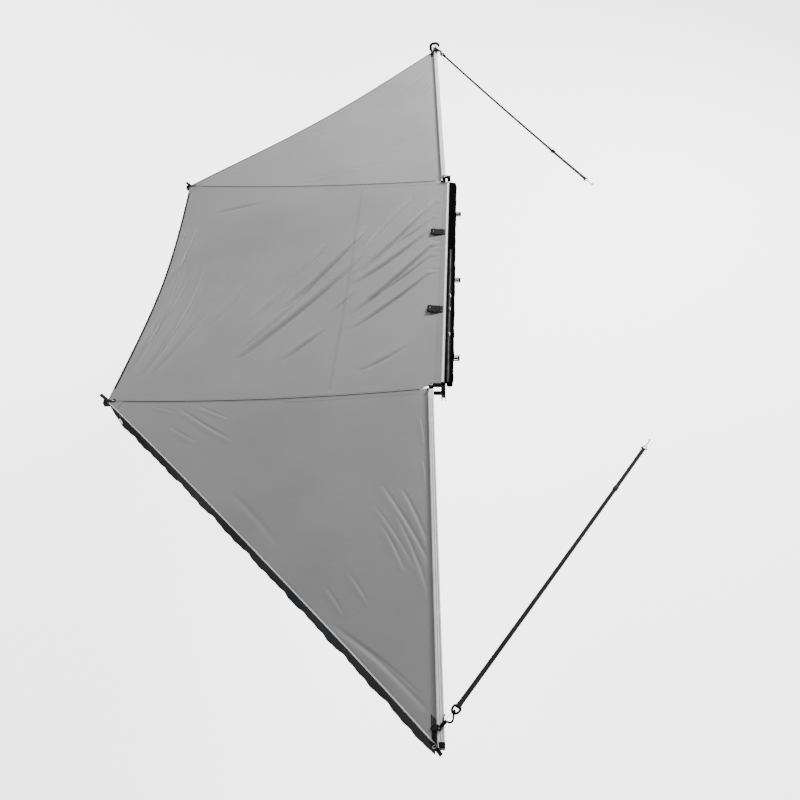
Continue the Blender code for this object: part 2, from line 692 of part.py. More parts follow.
def build_leg(arm, frame, aluminium, steel, rubber):
    """The folding leg: hinged in the tip cap, stowed in the channel, with a rod that draws out.

    The tube's mouth swells into the collar of the twist lock.
    """
    pivot = (arm.length - LEG_PIVOT_INSET, 0, LEG_AXIS_HEIGHT)
    hinge = make_frame(f"{arm.name}_leg_hinge", pivot, (0, -90, 0), frame)
    half_pin = CHANNEL_INNER / 2 - 2 * GAP
    pin = [(0, -half_pin), (LEG_PIN_RADIUS, -half_pin), (LEG_PIN_RADIUS, half_pin), (0, half_pin)]
    pin_mesh = turned("leg_pin", pin, TUBE_STEPS)
    make_object(f"{arm.name}_leg_pin", pin_mesh, steel, pivot, (90, 0, 0), frame)
    plug_start = LEG_EYE_RADIUS + LEG_EYE_CLEARANCE
    plug_end = plug_start + LEG_RADIUS
    bore = LEG_RADIUS - LEG_TUBE_WALL
    tube = [
        (0, plug_start),
        (bore, plug_start),
        (LEG_RADIUS, plug_start + LEG_TUBE_WALL),
        (LEG_RADIUS, LEG_TUBE_LENGTH - LEG_COLLAR_LENGTH),
        (LEG_COLLAR_RADIUS, LEG_TUBE_LENGTH - LEG_COLLAR_LENGTH + LEG_TUBE_WALL),
        (LEG_COLLAR_RADIUS, LEG_TUBE_LENGTH),
        (bore, LEG_TUBE_LENGTH),
        (bore, plug_end),
        (0, plug_end),
    ]
    name = f"{arm.name}_leg_tube"
    leg = make_object(name, turned(name, tube, TUBE_STEPS), aluminium, parent=hinge)
    lug_top = plug_start + LEG_RADIUS / 3
    eye = arc(0, 0, LEG_EYE_RADIUS, 180, 360, 8)
    eye += [(LEG_EYE_RADIUS * 0.8, lug_top), (-LEG_EYE_RADIUS * 0.8, lug_top)]
    half_eye = LEG_EYE_THICKNESS / 2
    lug = prism("eye", [eye, circle(0, 0, LEG_PIN_HOLE_RADIUS, TUBE_STEPS)], -half_eye, half_eye)
    boolean(leg, helper(f"{name}_eye", lug, turn=(90, 0, 0), parent=hinge), "UNION")
    rod_radius = bore - PLAY
    rod_bore = rod_radius - LEG_ROD_WALL
    rod_start = plug_end + LEG_RADIUS
    rod_end = LEG_TUBE_LENGTH + LEG_ROD_SHOWING
    rod = [(rod_bore, rod_start), (rod_radius, rod_start), (rod_radius, rod_end), (rod_bore, rod_end)]
    rod_mesh = turned("leg_rod", rod, TUBE_STEPS, closed=True)
    make_object(f"{arm.name}_leg_rod", rod_mesh, aluminium, parent=hinge)
    foot_start = rod_end + GAP
    foot_end = foot_start + LEG_FOOT_LENGTH
    soft = LEG_FOOT_LENGTH / 4
    stem = rod_bore - PLAY
    foot = [
        (0, foot_start - LEG_FOOT_PLUG),
        (stem, foot_start - LEG_FOOT_PLUG),
        (stem, foot_start),
        (rod_radius, foot_start),
        (LEG_FOOT_RADIUS, foot_start + soft),
        (LEG_FOOT_RADIUS, foot_end - soft),
        (LEG_FOOT_RADIUS - soft, foot_end),
        (0, foot_end),
    ]
    make_object(f"{arm.name}_leg_foot", turned("leg_foot", foot, TUBE_STEPS), rubber, parent=hinge)


def build_arm(arm, materials):
    """One swinging arm with its hinge block, tip cap and stowed leg."""
    place = (arm.pin.x, arm.pin.y, arm.level)
    frame = make_frame(f"{arm.name}_arm_pivot", place, (0, 0, arm.heading))
    build_channel(arm, frame, materials["aluminium"])
    build_knuckle(arm, frame, materials["plastic"])
    build_cap(arm, frame, materials["plastic"])
    build_leg(arm, frame, materials["aluminium"], materials["steel"], materials["rubber"])


class Wing:
    """One triangular end of the canopy, between an outer arm and the mid arm of the same end."""

    def __init__(self, name, end, outer, mid, hem_bow):
        self.name = name
        self.end = end
        self.outer = outer
        self.mid = mid
        self.hem_bow = hem_bow
        self.edge_offset = outer.fabric_side * (ARM_WIDTH / 2 + KEDER_DEPTH - KEDER_GRIP)

    def seam(self, share):
        """A point on the seam over the mid arm, which bows rearwards between hinge and tip."""
        reach = self.mid.length - CAP_LENGTH - WING_START
        place = self.mid.pin + self.mid.along * (WING_START + share * reach)
        bow = SEAM_BOW * 4 * share * (1 - share)
        return Vector((place.x, place.y - bow, FABRIC_REST_Z))

    def rail_point(self, share):
        """A point on the edge that the outer arm's keder rail holds."""
        reach = self.outer.length - CAP_LENGTH - WING_START
        return self.outer.at(WING_START + share * reach, self.edge_offset, ARM_KEDER_Z)

    def outward(self):
        """The level direction square to the hem, away from the hinge."""
        hem = self.rail_point(1) - self.seam(1)
        return Vector((-hem.y, hem.x, 0)).normalized() * self.end

    def point(self, along, across):
        """The panel's middle surface, hinge to hem along and seam to rail across."""
        seam = self.seam(along)
        edge = self.rail_point(along)
        width = (edge - seam).length
        from_seam = across * width - FLAT_OVER_ARM
        slack = min(max(from_seam / (width - FLAT_OVER_ARM - LEVEL_BEFORE_RAIL), 0), 1)
        from_rail = max(1 - across - FLAT_AT_RAIL / width, 0)
        sag = WING_SAG * along * (4 * slack * from_rail) ** 2
        bow = self.hem_bow * 4 * across * (1 - across) * along**2
        place = seam.lerp(edge, across) - self.outward() * bow
        height = FABRIC_REST_Z + (edge.z - FABRIC_REST_Z) * smooth_step(slack) - sag
        return Vector((place.x, place.y, height))


WINGS = (
    Wing("front", 1, FRONT_ARM, MID_FRONT_ARM, FRONT_HEM_BOW),
    Wing("rear", -1, REAR_ARM, MID_REAR_ARM, REAR_HEM_BOW),
)


def build_wing(wing, fabric):
    rows = []
    for along in np.linspace(0, 1, SEAM_STEPS + 1):
        width = (wing.rail_point(along) - wing.seam(along)).length
        flat = min(FLAT_OVER_ARM / width, 0.4)
        near_rail = 1 - (KEDER_DEPTH + KEDER_GRIP) / width
        shares = [GAP / width, *np.linspace(flat, near_rail, ACROSS_STEPS), 1.0]
        rows.append([wing.point(along, across) for across in shares])
    sheet_object(f"{wing.name}_canopy", rows, FABRIC, fabric)
    return rows[-1]


def middle_edge(wing):
    """The middle panel's edge from beam to hem: drawn in beside the hinge, then along the seam."""
    start = wing.seam(0)
    clear_y = wing.end * (BEAM_HALF_LENGTH - HINGE_CLEARANCE)
    groove_x = BEAM_FACE + KEDER_GRIP
    mouth_x = BEAM_FACE - KEDER_DEPTH
    turn_x = start.x + HINGE_TRANSITION
    edge = [Vector((groove_x, clear_y, KEDER_RAIL_Z)), Vector((mouth_x, clear_y, KEDER_RAIL_Z))]
    edge.append(Vector((turn_x, clear_y, FABRIC_REST_Z)))
    inset = Vector((0, -wing.end * 2 * GAP, 0))
    return edge + [wing.seam(share) + inset for share in np.linspace(0, 1, SEAM_STEPS + 1)]


def middle_row(front_place, rear_place, along, shares):
    """One row of the middle panel from rear to front: its sag, and its bow at the hem."""
    row = []
    for across in shares:
        place = rear_place.lerp(front_place, across)
        width = (front_place - rear_place).length
        from_edge = min(across, 1 - across) - FLAT_OVER_ARM / width
        slack = smooth_step(2 * from_edge)
        sag = MIDDLE_SAG * slack * math.sin(math.pi * min(along, 1.0) * 0.75)
        bow = MIDDLE_HEM_BOW * 4 * across * (1 - across) * along**3
        row.append(Vector((place.x + bow, place.y, place.z - sag)))
    return row


def build_middle_canopy(fabric):
    front_edge = middle_edge(WINGS[0])
    rear_edge = middle_edge(WINGS[1])
    flat = FLAT_OVER_ARM / PIVOT_SPACING
    shares = [0.0, *np.linspace(flat, 1 - flat, ACROSS_STEPS + 1), 1.0]
    reach = front_edge[-1].x - front_edge[1].x
    rows = []
    for front_place, rear_place in zip(front_edge, rear_edge):
        along = max((front_place.x - front_edge[1].x) / reach, 0)
        rows.append(middle_row(front_place, rear_place, along, shares))
    sheet_object("middle_canopy", rows, FABRIC, fabric)
    return rows[-1]


def point_on(row, distance):
    """The point at a distance along a row of points."""
    for first, second in zip(row, row[1:]):
        step = (second - first).length
        if distance <= step:
            break
        distance -= step
    return first.lerp(second, min(distance / step, 1))


def build_valance(name, hem, outward, cloth):
    """An edge that hangs under a hem, with folds that deepen towards its foot."""
    span = sum((second - first).length for first, second in zip(hem, hem[1:]))
    waves = round(span / VALANCE_WAVE_LENGTH)
    columns = np.linspace(VALANCE_END_GAP, span - VALANCE_END_GAP, VALANCE_STEPS * waves + 1)
    rows = []
    for down in (0.0, 0.45, 1.0):
        row = []
        for along in columns:
            near_end = min(along, span - along) - VALANCE_END_GAP
            fold = VALANCE_WAVE * down * math.sin(2 * math.pi * waves * along / span)
            offset = fold * smooth_step(near_end / VALANCE_END_GAP) - HEM_TUCK
            place = point_on(hem, along) + outward * offset
            drop = FABRIC / 2 + HEM_GAP + VALANCE_DROP * down
            row.append(Vector((place.x, place.y, place.z - drop)))
        rows.append(row)
    sheet_object(name, rows, VALANCE_THICKNESS, cloth)


def build_roof_strap(name, y, webbing):
    """A tie strap that lies on the canopy beside the beam, with its buckle at the free end."""
    lift = FABRIC + 3 * GAP
    near = BEAM_FACE - KEDER_DEPTH
    far = near - ROOF_STRAP_LENGTH
    low = FABRIC_REST_Z + (KEDER_RAIL_Z - FABRIC_REST_Z) * 0.95 + lift
    half = ROOF_STRAP_WIDTH / 2
    strap = block(name, (far, y - half, low), (near, y + half, low + WEBBING_THICKNESS))
    made = make_object(name, strap, webbing)
    wide = ROOF_BUCKLE_WIDTH / 2
    inner = far + ROOF_BUCKLE_LENGTH
    top = low + ROOF_BUCKLE_HEIGHT
    buckle = block("buckle", (far - WEBBING_THICKNESS, y - wide, low), (inner, y + wide, top))
    solid = helper(f"{name}_buckle", buckle)
    bevel(solid, ROOF_BUCKLE_HEIGHT / 4)
    boolean(made, solid, "UNION")


def filleted(corners, radius, closed=False):
    """The path through the corners with each one rounded off."""
    count = len(corners)
    points = [Vector(corner) for corner in corners]
    path = []
    for i, corner in enumerate(points):
        if not closed and i in (0, count - 1):
            path.append(corner)
            continue
        back = points[i - 1] - corner
        ahead = points[(i + 1) % count] - corner
        cut = min(radius, back.length * 0.49, ahead.length * 0.49)
        first = corner + back.normalized() * cut
        last = corner + ahead.normalized() * cut
        for t in np.linspace(0, 1, 4):
            path.append(first * (1 - t) ** 2 + corner * 2 * t * (1 - t) + last * t * t)
    return path


def ribbon(name, path, width, thickness):
    """A flat strip that follows a path in the local XZ plane."""
    rings = []
    for i, (x, z) in enumerate(path):
        before = path[max(i - 1, 0)]
        after = path[min(i + 1, len(path) - 1)]
        run = Vector((after[0] - before[0], after[1] - before[1])).normalized() * thickness / 2
        upper = (x - run.y, z + run.x)
        lower = (x + run.y, z - run.x)
        half = width / 2
        rings.append(
            [
                (upper[0], -half, upper[1]),
                (upper[0], half, upper[1]),
                (lower[0], half, lower[1]),
                (lower[0], -half, lower[1]),
            ]
        )
    return rings_solid(name, rings, 50)


def strap_hook(name, frame, material):
    """A bent wire hook: an eye for webbing at the origin, a shank along X and an open hook."""
    half = WEBBING_WIDTH / 2 + 3 * HOOK_ROD
    wire = [
        (HOOK_EYE, -1.7 * HOOK_ROD, 0),
        (0, -half, 0),
        (0, half, 0),
        (HOOK_EYE, HOOK_ROD, 0),
        (HOOK_EYE + 2 * HOOK_ROD, 0, 0),
        (HOOK_BEND, 0, 0),
    ]
    bend = arc(HOOK_BEND, HOOK_CURL, HOOK_CURL, -90, 90, 8)[1:]
    path = filleted(wire, 2 * HOOK_ROD)
    path += [Vector((x, 0, z)) for x, z in bend]
    path.append(Vector((HOOK_BEND - 2 * HOOK_ROD, 0, 2 * HOOK_CURL)))
    rod_object(name, path, HOOK_ROD, material, sides=1, parent=frame)


def wrap(centre, radius, start, end):
    """Points of a strip that turns round a bar, in the local XZ plane."""
    return arc(centre[0], centre[1], radius, start, end, 6)


class Strap:
    """One guy strap, from the canopy's corner at an outer arm's tip to a hook on the vehicle."""

    def __init__(self, name, arm, far_end):
        self.name = name
        start = arm.at(arm.length - STRAP_INSET, self.side_of(arm), ARM_HEIGHT + STRAP_HEIGHT)
        far = Vector(far_end)
        level = Vector((far.x - start.x, far.y - start.y, 0)).normalized()
        self.start = start
        self.heading = math.degrees(math.atan2(level.y, level.x))
        self.ring_place = start + level * RING_OFFSET + Vector((0, 0, HOOK_CURL))
        run = far - self.ring_place
        self.pitch = math.degrees(math.asin(-run.z / run.length))
        self.length = run.length - HOOK_BEND - HOOK_CURL - RING_LENGTH
        self.fabric_z = arm.level + ARM_KEDER_Z + FABRIC / 2 + GAP

    @staticmethod
    def side_of(arm):
        return arm.fabric_side * (ARM_WIDTH / 2 + KEDER_DEPTH)

    def build(self, materials):
        hook_frame = make_frame(f"{self.name}_hook_frame", self.start, (0, 0, self.heading))
        self.build_tab(hook_frame, materials["webbing"])
        strap_hook(f"{self.name}_strap_hook", hook_frame, materials["steel"])
        turn = (0, self.pitch, self.heading)
        ring_frame = make_frame(f"{self.name}_strap_frame", self.ring_place, turn)
        self.build_ring(ring_frame, materials["steel"])
        self.build_webbing(ring_frame, materials["webbing"])
        self.build_buckle(ring_frame, materials["black_steel"])
        far_frame = make_frame(f"{self.name}_far_frame", (RING_LENGTH + self.length, 0, 0), parent=ring_frame)
        strap_hook(f"{self.name}_strap_far_hook", far_frame, materials["steel"])

    def build_tab(self, frame, material):
        """The corner's webbing tab: sewn flat on the canopy, then up to a loop about the hook's eye."""
        thickness = TAB_THICKNESS
        radius = HOOK_ROD + GAP + thickness / 2
        base = self.fabric_z + thickness / 2 - self.start.z
        outer = radius + thickness + GAP
        path = [(-TAB_REACH, base), (-TAB_REACH * 0.55, base + GAP)]
        path += [(-3 * radius, -radius - GAP), *wrap((0, 0), radius, -90, 120)]
        path += [(-3 * radius, -radius - GAP + thickness + 2 * GAP), (-TAB_REACH * 0.5, base + outer)]
        mesh = ribbon(f"{self.name}_corner_tab", path, WEBBING_WIDTH, thickness)
        make_object(f"{self.name}_corner_tab", mesh, material, parent=frame)

    def build_ring(self, frame, material):
        """A triangular ring in the strap's plane: its apex in the hook, its bar in the webbing."""
        half = WEBBING_WIDTH / 2 + 2.2 * RING_ROD
        apex = 1.5 * RING_ROD
        corners = [(0, -apex, 0), (RING_LENGTH, -half, 0), (RING_LENGTH, half, 0), (0, apex, 0)]
        path = filleted(corners, 2 * RING_ROD, closed=True)
        rod_object(f"{self.name}_strap_ring", path, RING_ROD, material, closed=True, parent=frame)

    def strap_path(self):
        """The webbing from its tail at the ring, round the ring's bar, and round the far hook's eye."""
        layer = WEBBING_THICKNESS / 2 + GAP
        near_bar = RING_LENGTH
        far_bar = RING_LENGTH + self.length
        near_radius = RING_ROD + GAP + WEBBING_THICKNESS / 2
        far_radius = HOOK_ROD + GAP + WEBBING_THICKNESS / 2
        near_tail = near_bar + STITCHED_LENGTH
        path = [(near_tail, -layer), (near_bar + 4 * near_radius, -layer)]
        path += wrap((near_bar, 0), near_radius, -90, -270)
        path.append((near_bar + 4 * near_radius, layer))
        for share in np.linspace(0.05, 0.95, 9):
            path.append((near_bar + share * self.length, layer - self.sag(share)))
        path.append((far_bar - 4 * far_radius, layer))
        path += wrap((far_bar, 0), far_radius, 90, -90)
        path.append((far_bar - 4 * far_radius, -layer))
        for share in np.linspace(0.95, BUCKLE_SHARE - 0.01, 3):
            path.append((near_bar + share * self.length, -layer - self.sag(share)))
        return path

    def sag(self, share):
        return STRAP_SAG * 4 * share * (1 - share)

    def build_webbing(self, frame, material):
        name = f"{self.name}_strap_webbing"
        mesh = ribbon(name, self.strap_path(), WEBBING_WIDTH, WEBBING_THICKNESS)
        make_object(name, mesh, material, parent=frame)

    def build_buckle(self, frame, material):
        """The cam buckle: a body with a slot for both layers of webbing, and its thumb lever."""
        name = f"{self.name}_strap_buckle"
        half_length = BUCKLE_LENGTH / 2
        half_width = WEBBING_WIDTH / 2 + BUCKLE_WALL
        half_height = WEBBING_THICKNESS + 2 * BUCKLE_WALL
        place = (RING_LENGTH + BUCKLE_SHARE * self.length, 0, -self.sag(BUCKLE_SHARE))
        corner = Vector((half_length, half_width, half_height))
        buckle = make_object(name, block(name, -corner, corner), material, place, parent=frame)
        bevel(buckle, BUCKLE_WALL / 2)
        room = Vector((BUCKLE_LENGTH, WEBBING_WIDTH / 2 + 2 * GAP, WEBBING_THICKNESS + 4 * GAP))
        slot = helper(f"{name}_slot", block("slot", -room, room), parent=buckle)
        boolean(buckle, slot, "DIFFERENCE")
        lever_plan = [
            (-half_length * 0.6, half_height - BUCKLE_WALL / 2),
            (half_length * 0.5, half_height - BUCKLE_WALL / 2),
            (half_length * 1.3, half_height + 2 * BUCKLE_WALL),
            (half_length * 1.1, half_height + 3 * BUCKLE_WALL),
            (-half_length * 0.4, half_height + BUCKLE_WALL),
        ]
        lever = prism("lever", [lever_plan], -WEBBING_WIDTH / 3, WEBBING_WIDTH / 3)
        boolean(buckle, helper(f"{name}_lever", lever, turn=(90, 0, 0), parent=buckle), "UNION")


def main():
    clear_scene()
    materials = {
        "aluminium": make_material("satin_aluminium", (0.86, 0.87, 0.88), 0.32, 0.9),
        "steel": make_material("zinc_steel", (0.55, 0.56, 0.58), 0.4, 1.0),
        "black_steel": make_material("black_steel", (0.03, 0.03, 0.032), 0.45, 0.4),
        "plastic": make_material("black_plastic", (0.025, 0.025, 0.027), 0.5, 0.0),
        "rubber": make_material("rubber", (0.02, 0.02, 0.02), 0.8, 0.0),
        "canopy": make_material("grey_ripstop", (0.33, 0.33, 0.33), 0.7, 0.0),
        "valance": make_material("black_cloth", (0.025, 0.025, 0.027), 0.85, 0.0),
        "webbing": make_material("black_webbing", (0.02, 0.02, 0.02), 0.8, 0.0),
        "cover": make_material("black_pvc", (0.02, 0.02, 0.022), 0.55, 0.0),
    }
    build_beam(materials["aluminium"])
    build_end_bracket("front_end_bracket", 1, FRONT_ARM, materials["black_steel"])
    build_end_bracket("rear_end_bracket", -1, REAR_ARM, materials["black_steel"])
    build_pivot("front", FRONT_ARM, materials["steel"])
    build_pivot("rear", REAR_ARM, materials["steel"])
    for name, y in (("front", FOOT_SPACING), ("middle", 0), ("rear", -FOOT_SPACING)):
        build_foot_bracket(f"{name}_foot_bracket", y, materials["black_steel"])
    build_cover(materials["cover"])
    for arm in (FRONT_ARM, MID_FRONT_ARM, MID_REAR_ARM, REAR_ARM):
        build_arm(arm, materials)
    hem = build_middle_canopy(materials["canopy"])
    build_valance("middle_valance", hem, Vector((-1, 0, 0)), materials["valance"])
    for wing in WINGS:
        hem = build_wing(wing, materials["canopy"])
        build_valance(f"{wing.name}_valance", hem, wing.outward(), materials["valance"])
    build_roof_strap("front_roof_strap", FRONT_ROOF_STRAP_Y, materials["webbing"])
    build_roof_strap("rear_roof_strap", REAR_ROOF_STRAP_Y, materials["webbing"])
    Strap("front", FRONT_ARM, FRONT_STRAP_END).build(materials)
    Strap("rear", REAR_ARM, REAR_STRAP_END).build(materials)


main()
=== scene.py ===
"""Looks for the vehicle side awning: its cloth, straps, cover, small hardware, finishes, light and camera.

Metres, in the frame of the CAD part: +Z up, +Y forward along the vehicle, -X out from it.
"""
import math

import bmesh
import bpy
import numpy as np
from mathutils import Matrix, Vector


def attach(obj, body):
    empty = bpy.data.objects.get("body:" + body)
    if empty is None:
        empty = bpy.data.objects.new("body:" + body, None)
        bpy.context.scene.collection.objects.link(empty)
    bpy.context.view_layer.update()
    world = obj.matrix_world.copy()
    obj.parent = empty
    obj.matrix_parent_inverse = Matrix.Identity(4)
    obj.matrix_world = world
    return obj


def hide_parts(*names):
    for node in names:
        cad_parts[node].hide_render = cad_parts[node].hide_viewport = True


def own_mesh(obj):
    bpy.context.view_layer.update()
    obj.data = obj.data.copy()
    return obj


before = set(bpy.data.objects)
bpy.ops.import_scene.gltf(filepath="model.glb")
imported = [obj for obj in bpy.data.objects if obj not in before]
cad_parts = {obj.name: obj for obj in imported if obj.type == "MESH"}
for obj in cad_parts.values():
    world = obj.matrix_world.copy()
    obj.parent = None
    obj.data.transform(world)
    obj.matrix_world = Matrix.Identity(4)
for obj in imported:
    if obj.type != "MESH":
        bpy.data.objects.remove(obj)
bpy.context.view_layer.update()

# The part's own sizes that the cloth and the straps follow.
PIVOT_HALF = 1.150
BEAM_HALF = 1.133
BEAM_FACE = -0.0693
BEAM_TOP = 0.090
RAIL_Z = 0.0862
REST_Z = 0.0803
UPPER_LEVEL = 0.0824
LOWER_LEVEL = 0.0444
ARM_HALF_WIDTH = 0.015
ARM_HEIGHT = 0.035
ARM_KEDER_Z = 0.0038
KEDER_DEPTH = 0.006
KEDER_GRIP = 0.0035
CAP_LENGTH = 0.028
WING_START = 0.075
SEAM_BOW = 0.036
MIDDLE_HEM_BOW = 0.058
MIDDLE_SAG = 0.045
WING_SAG = 0.030
FLAT_OVER_ARM = 0.061
FLAT_AT_RAIL = 0.028
LEVEL_BEFORE_RAIL = 0.012
OUTER_HEM_INSET = 0.014
HINGE_REACH = -0.0225
TAPER_START = 0.30
TAPER_RUN = 0.12
VALANCE_DROP = 0.145
VALANCE_FLARE = 0.012
VALANCE_MID_GAP = 0.020
VALANCE_OUTER_GAP = 0.016
HEM_TUCK = 0.004
VALANCE_STEP = 0.012

# Thicknesses of one layer of canopy, of a binding or the edge cloth, of a corner patch and of a tape.
CLOTH = 0.0010
BINDING = 0.0012
PATCH = 0.0014
TAPE = 0.0008

FLOOR_Z = -2.05
FLOOR_HALF = 40.0

UP = np.array([0.0, 0.0, 1.0])


# Vectors and meshes

def unit(vectors):
    """Vectors divided by their own length."""
    vectors = np.asarray(vectors, float)
    return vectors / np.linalg.norm(vectors, axis=-1, keepdims=True)


def smooth(value):
    """The smooth step 3v^2 - 2v^3 of v held between 0 and 1."""
    value = np.clip(value, 0, 1)
    return value * value * (3 - 2 * value)


def spread(origin, distances, ways):
    """Points from an origin, by distances along some directions."""
    distances = np.broadcast_arrays(*(np.asarray(run, float) for run in distances))
    return origin + sum(run[..., None] * way for run, way in zip(distances, ways))


def travelled(path):
    """The distance run along a path at each of its points."""
    steps = np.linalg.norm(np.diff(path, axis=0), axis=1)
    return np.concatenate([[0], np.cumsum(steps)])


def resampled(path, spacing):
    """The same path as points an equal distance apart."""
    run = travelled(path)
    stations = np.linspace(0, run[-1], max(int(run[-1] / spacing), 2) + 1)
    return np.stack([np.interp(stations, run, path[:, i]) for i in range(3)], axis=1)


def grid_faces(rows, columns, start=0, around=False, ends=False):
    """Quads between a grid's neighbours, closed round each ring and capped if asked."""
    index = start + np.arange(rows * columns).reshape(rows, columns)
    ring = np.concatenate([index, index[:, :1]], axis=1) if around else index
    quads = np.stack([ring[:-1, :-1], ring[:-1, 1:], ring[1:, 1:], ring[1:, :-1]], axis=-1)
    return quads.reshape(-1, 4).tolist() + ([index[0, ::-1].tolist(), index[-1].tolist()] if ends else [])


def surface(name, points, finish, around=False, ends=False, uv=None):
    """A mesh over a grid of points."""
    faces = grid_faces(*points.shape[:2], around=around, ends=ends)
    return finished(name, points.reshape(-1, 3), faces, finish, uv)


def finished(name, points, faces, finish, uv=None, smooth_shade=True):
    """A named object from points and faces, with its finish and its texture coordinates in metres."""
    mesh = bpy.data.meshes.new(name)
    mesh.from_pydata(points.tolist(), [], faces)
    mesh.update()
    mesh.polygons.foreach_set("use_smooth", np.full(len(mesh.polygons), smooth_shade))
    if uv is not None:
        corners = np.zeros(len(mesh.loops), np.int32)
        mesh.loops.foreach_get("vertex_index", corners)
        layer = mesh.uv_layers.new(name="metres")
        layer.data.foreach_set("uv", uv.reshape(-1, 2)[corners].astype(np.float32).ravel())
    mesh.materials.append(finish)
    piece = bpy.data.objects.new(name, mesh)
    bpy.context.scene.collection.objects.link(piece)
    return piece


def swept(path, section, side=None):
    """Rings along a path: a section point (a, b) lands on p + a s + b l, with s across it and l above it."""
    path = np.asarray(path, float)
    along = unit(np.gradient(path, axis=0))
    side = unit(np.cross(along, UP)) if side is None else np.broadcast_to(unit(side), along.shape)
    lift = np.cross(side, along)
    return path[:, None] + section[None, :, :1] * side[:, None] + section[None, :, 1:] * lift[:, None]


def full_turn(steps):
    """Angles an equal step apart round a circle."""
    return np.linspace(0, 2 * math.pi, steps, endpoint=False)


def round_section(radius, steps=12):
    """A circle of points (r cos t, r sin t)."""
    turn = full_turn(steps)
    return radius * np.stack([np.cos(turn), np.sin(turn)], axis=1)


def flat_section(width, thickness):
    """A strip's section with rounded edges: a superellipse, flat above and below."""
    across, up = np.cos(full_turn(24)), np.sin(full_turn(24))
    return np.stack([width / 2 * np.sign(across) * np.abs(across) ** 0.7,
                     thickness / 2 * np.sign(up) * np.abs(up) ** 0.35], axis=1)


def band(name, path, width, thickness, finish, side=None):
    """A flat strip along a path, its texture running in metres along and across it."""
    section = flat_section(width, thickness)
    uv = np.stack(np.broadcast_arrays(travelled(path)[:, None], section[None, :, 0]), axis=-1)
    return surface(name, swept(path, section, side), finish, around=True, ends=True, uv=uv)


def tube(name, path, radius, finish, steps=12):
    """A round cord, bead or bent wire along a path, with blunt ends."""
    return surface(name, swept(path, round_section(radius, steps)), finish, around=True, ends=True)


def sheet(name, points, thickness, finish, uv=None):
    """A closed sheet: the grid moved half the thickness each way along its normals, with a rim round it.

    The normal is the cross product of the grid's two gradients. The rim's edges are sharp, the faces smooth.
    Its texture runs over its plan unless it is given its own.
    """
    uv = points[..., :2] if uv is None else uv
    rows, columns = points.shape[:2]
    normal = unit(np.cross(np.gradient(points, axis=0), np.gradient(points, axis=1)))
    half = thickness / 2
    places = np.concatenate([(points + normal * shift).reshape(-1, 3) for shift in (half, -half)])
    index = np.arange(rows * columns).reshape(rows, columns)
    quads = np.stack([index[:-1, :-1], index[1:, :-1], index[1:, 1:], index[:-1, 1:]], axis=-1).reshape(-1, 4)
    border = np.concatenate([index[0, :-1], index[:-1, -1], index[-1, :0:-1], index[:0:-1, 0]])
    ahead = np.roll(border, -1)
    below = rows * columns
    rim = np.stack([border, ahead, ahead + below, border + below], axis=-1)
    faces = np.concatenate([quads, quads[:, ::-1] + below, rim]).tolist()
    piece = finished(name, places, faces, finish, np.concatenate([uv.reshape(-1, 2)] * 2))
    piece.data.set_sharp_from_angle(angle=math.radians(50))
    return piece


def carried(piece, body, fold=None, node=None, slot=None):
    """The piece rides on a body. Its slot is not used.

    With a fold it gets its own copy of its mesh, and with a node it stands for that piece of the part, which
    is hidden.
    """
    if fold is not None:
        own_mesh(piece)
    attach(piece, body)
    if node is not None:
        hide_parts(node)
    return piece


# Finishes

def paint(code):
    """A colour given as an sRGB hex code, turned to linear light."""
    parts = np.array([int(code[i:i + 2], 16) for i in (1, 3, 5)]) / 255
    linear = np.where(parts <= 0.04045, parts / 12.92, ((parts + 0.055) / 1.055) ** 2.4)
    return (*linear.tolist(), 1.0)


def feed(tree, node, inputs):
    """Sets a node's inputs, or links them from a socket or from another node's first output."""
    for key, value in inputs.items():
        value = value.outputs[0] if isinstance(value, bpy.types.Node) else value
        if isinstance(value, bpy.types.NodeSocket):
            tree.links.new(value, node.inputs[key])
        else:
            node.inputs[key].default_value = value


def add(tree, kind, inputs=None, **settings):
    """Adds one node with its settings, and sets or links its inputs."""
    node = tree.nodes.new("ShaderNode" + kind)
    for key, value in settings.items():
        setattr(node, key, value)
    feed(tree, node, inputs or {})
    return node


def begin(name, **values):
    """A new material with its shader's plain values, and its tree and shader."""
    material = bpy.data.materials.new(name)
    material.use_nodes = True
    tree = material.node_tree
    shader = tree.nodes["Principled BSDF"]
    feed(tree, shader, {key.replace("_", " "): value for key, value in values.items()})
    return material, tree, shader


def shaded(tree, pattern, low, high, first, last):
    """A colour between two hex codes, by how far a pattern has come from a low value to a high one."""
    share = add(tree, "MapRange", {"Value": pattern, "From Min": low, "From Max": high})
    return add(tree, "Mix", {0: share, 6: paint(first), 7: paint(last)}, data_type="RGBA").outputs[2]


def weave(tree, place, warp, weft):
    """A plain weave: two crossed waves multiplied, by their spacings in metres.

    A wave of scale 1 repeats at 0.314 m.
    """
    waves = [add(tree, "TexWave", {"Vector": place, "Scale": 0.314 / spacing}, bands_direction=way)
             for way, spacing in (("X", warp), ("Y", weft))]
    return add(tree, "Math", {i: wave.outputs["Fac"] for i, wave in enumerate(waves)}, operation="MULTIPLY")


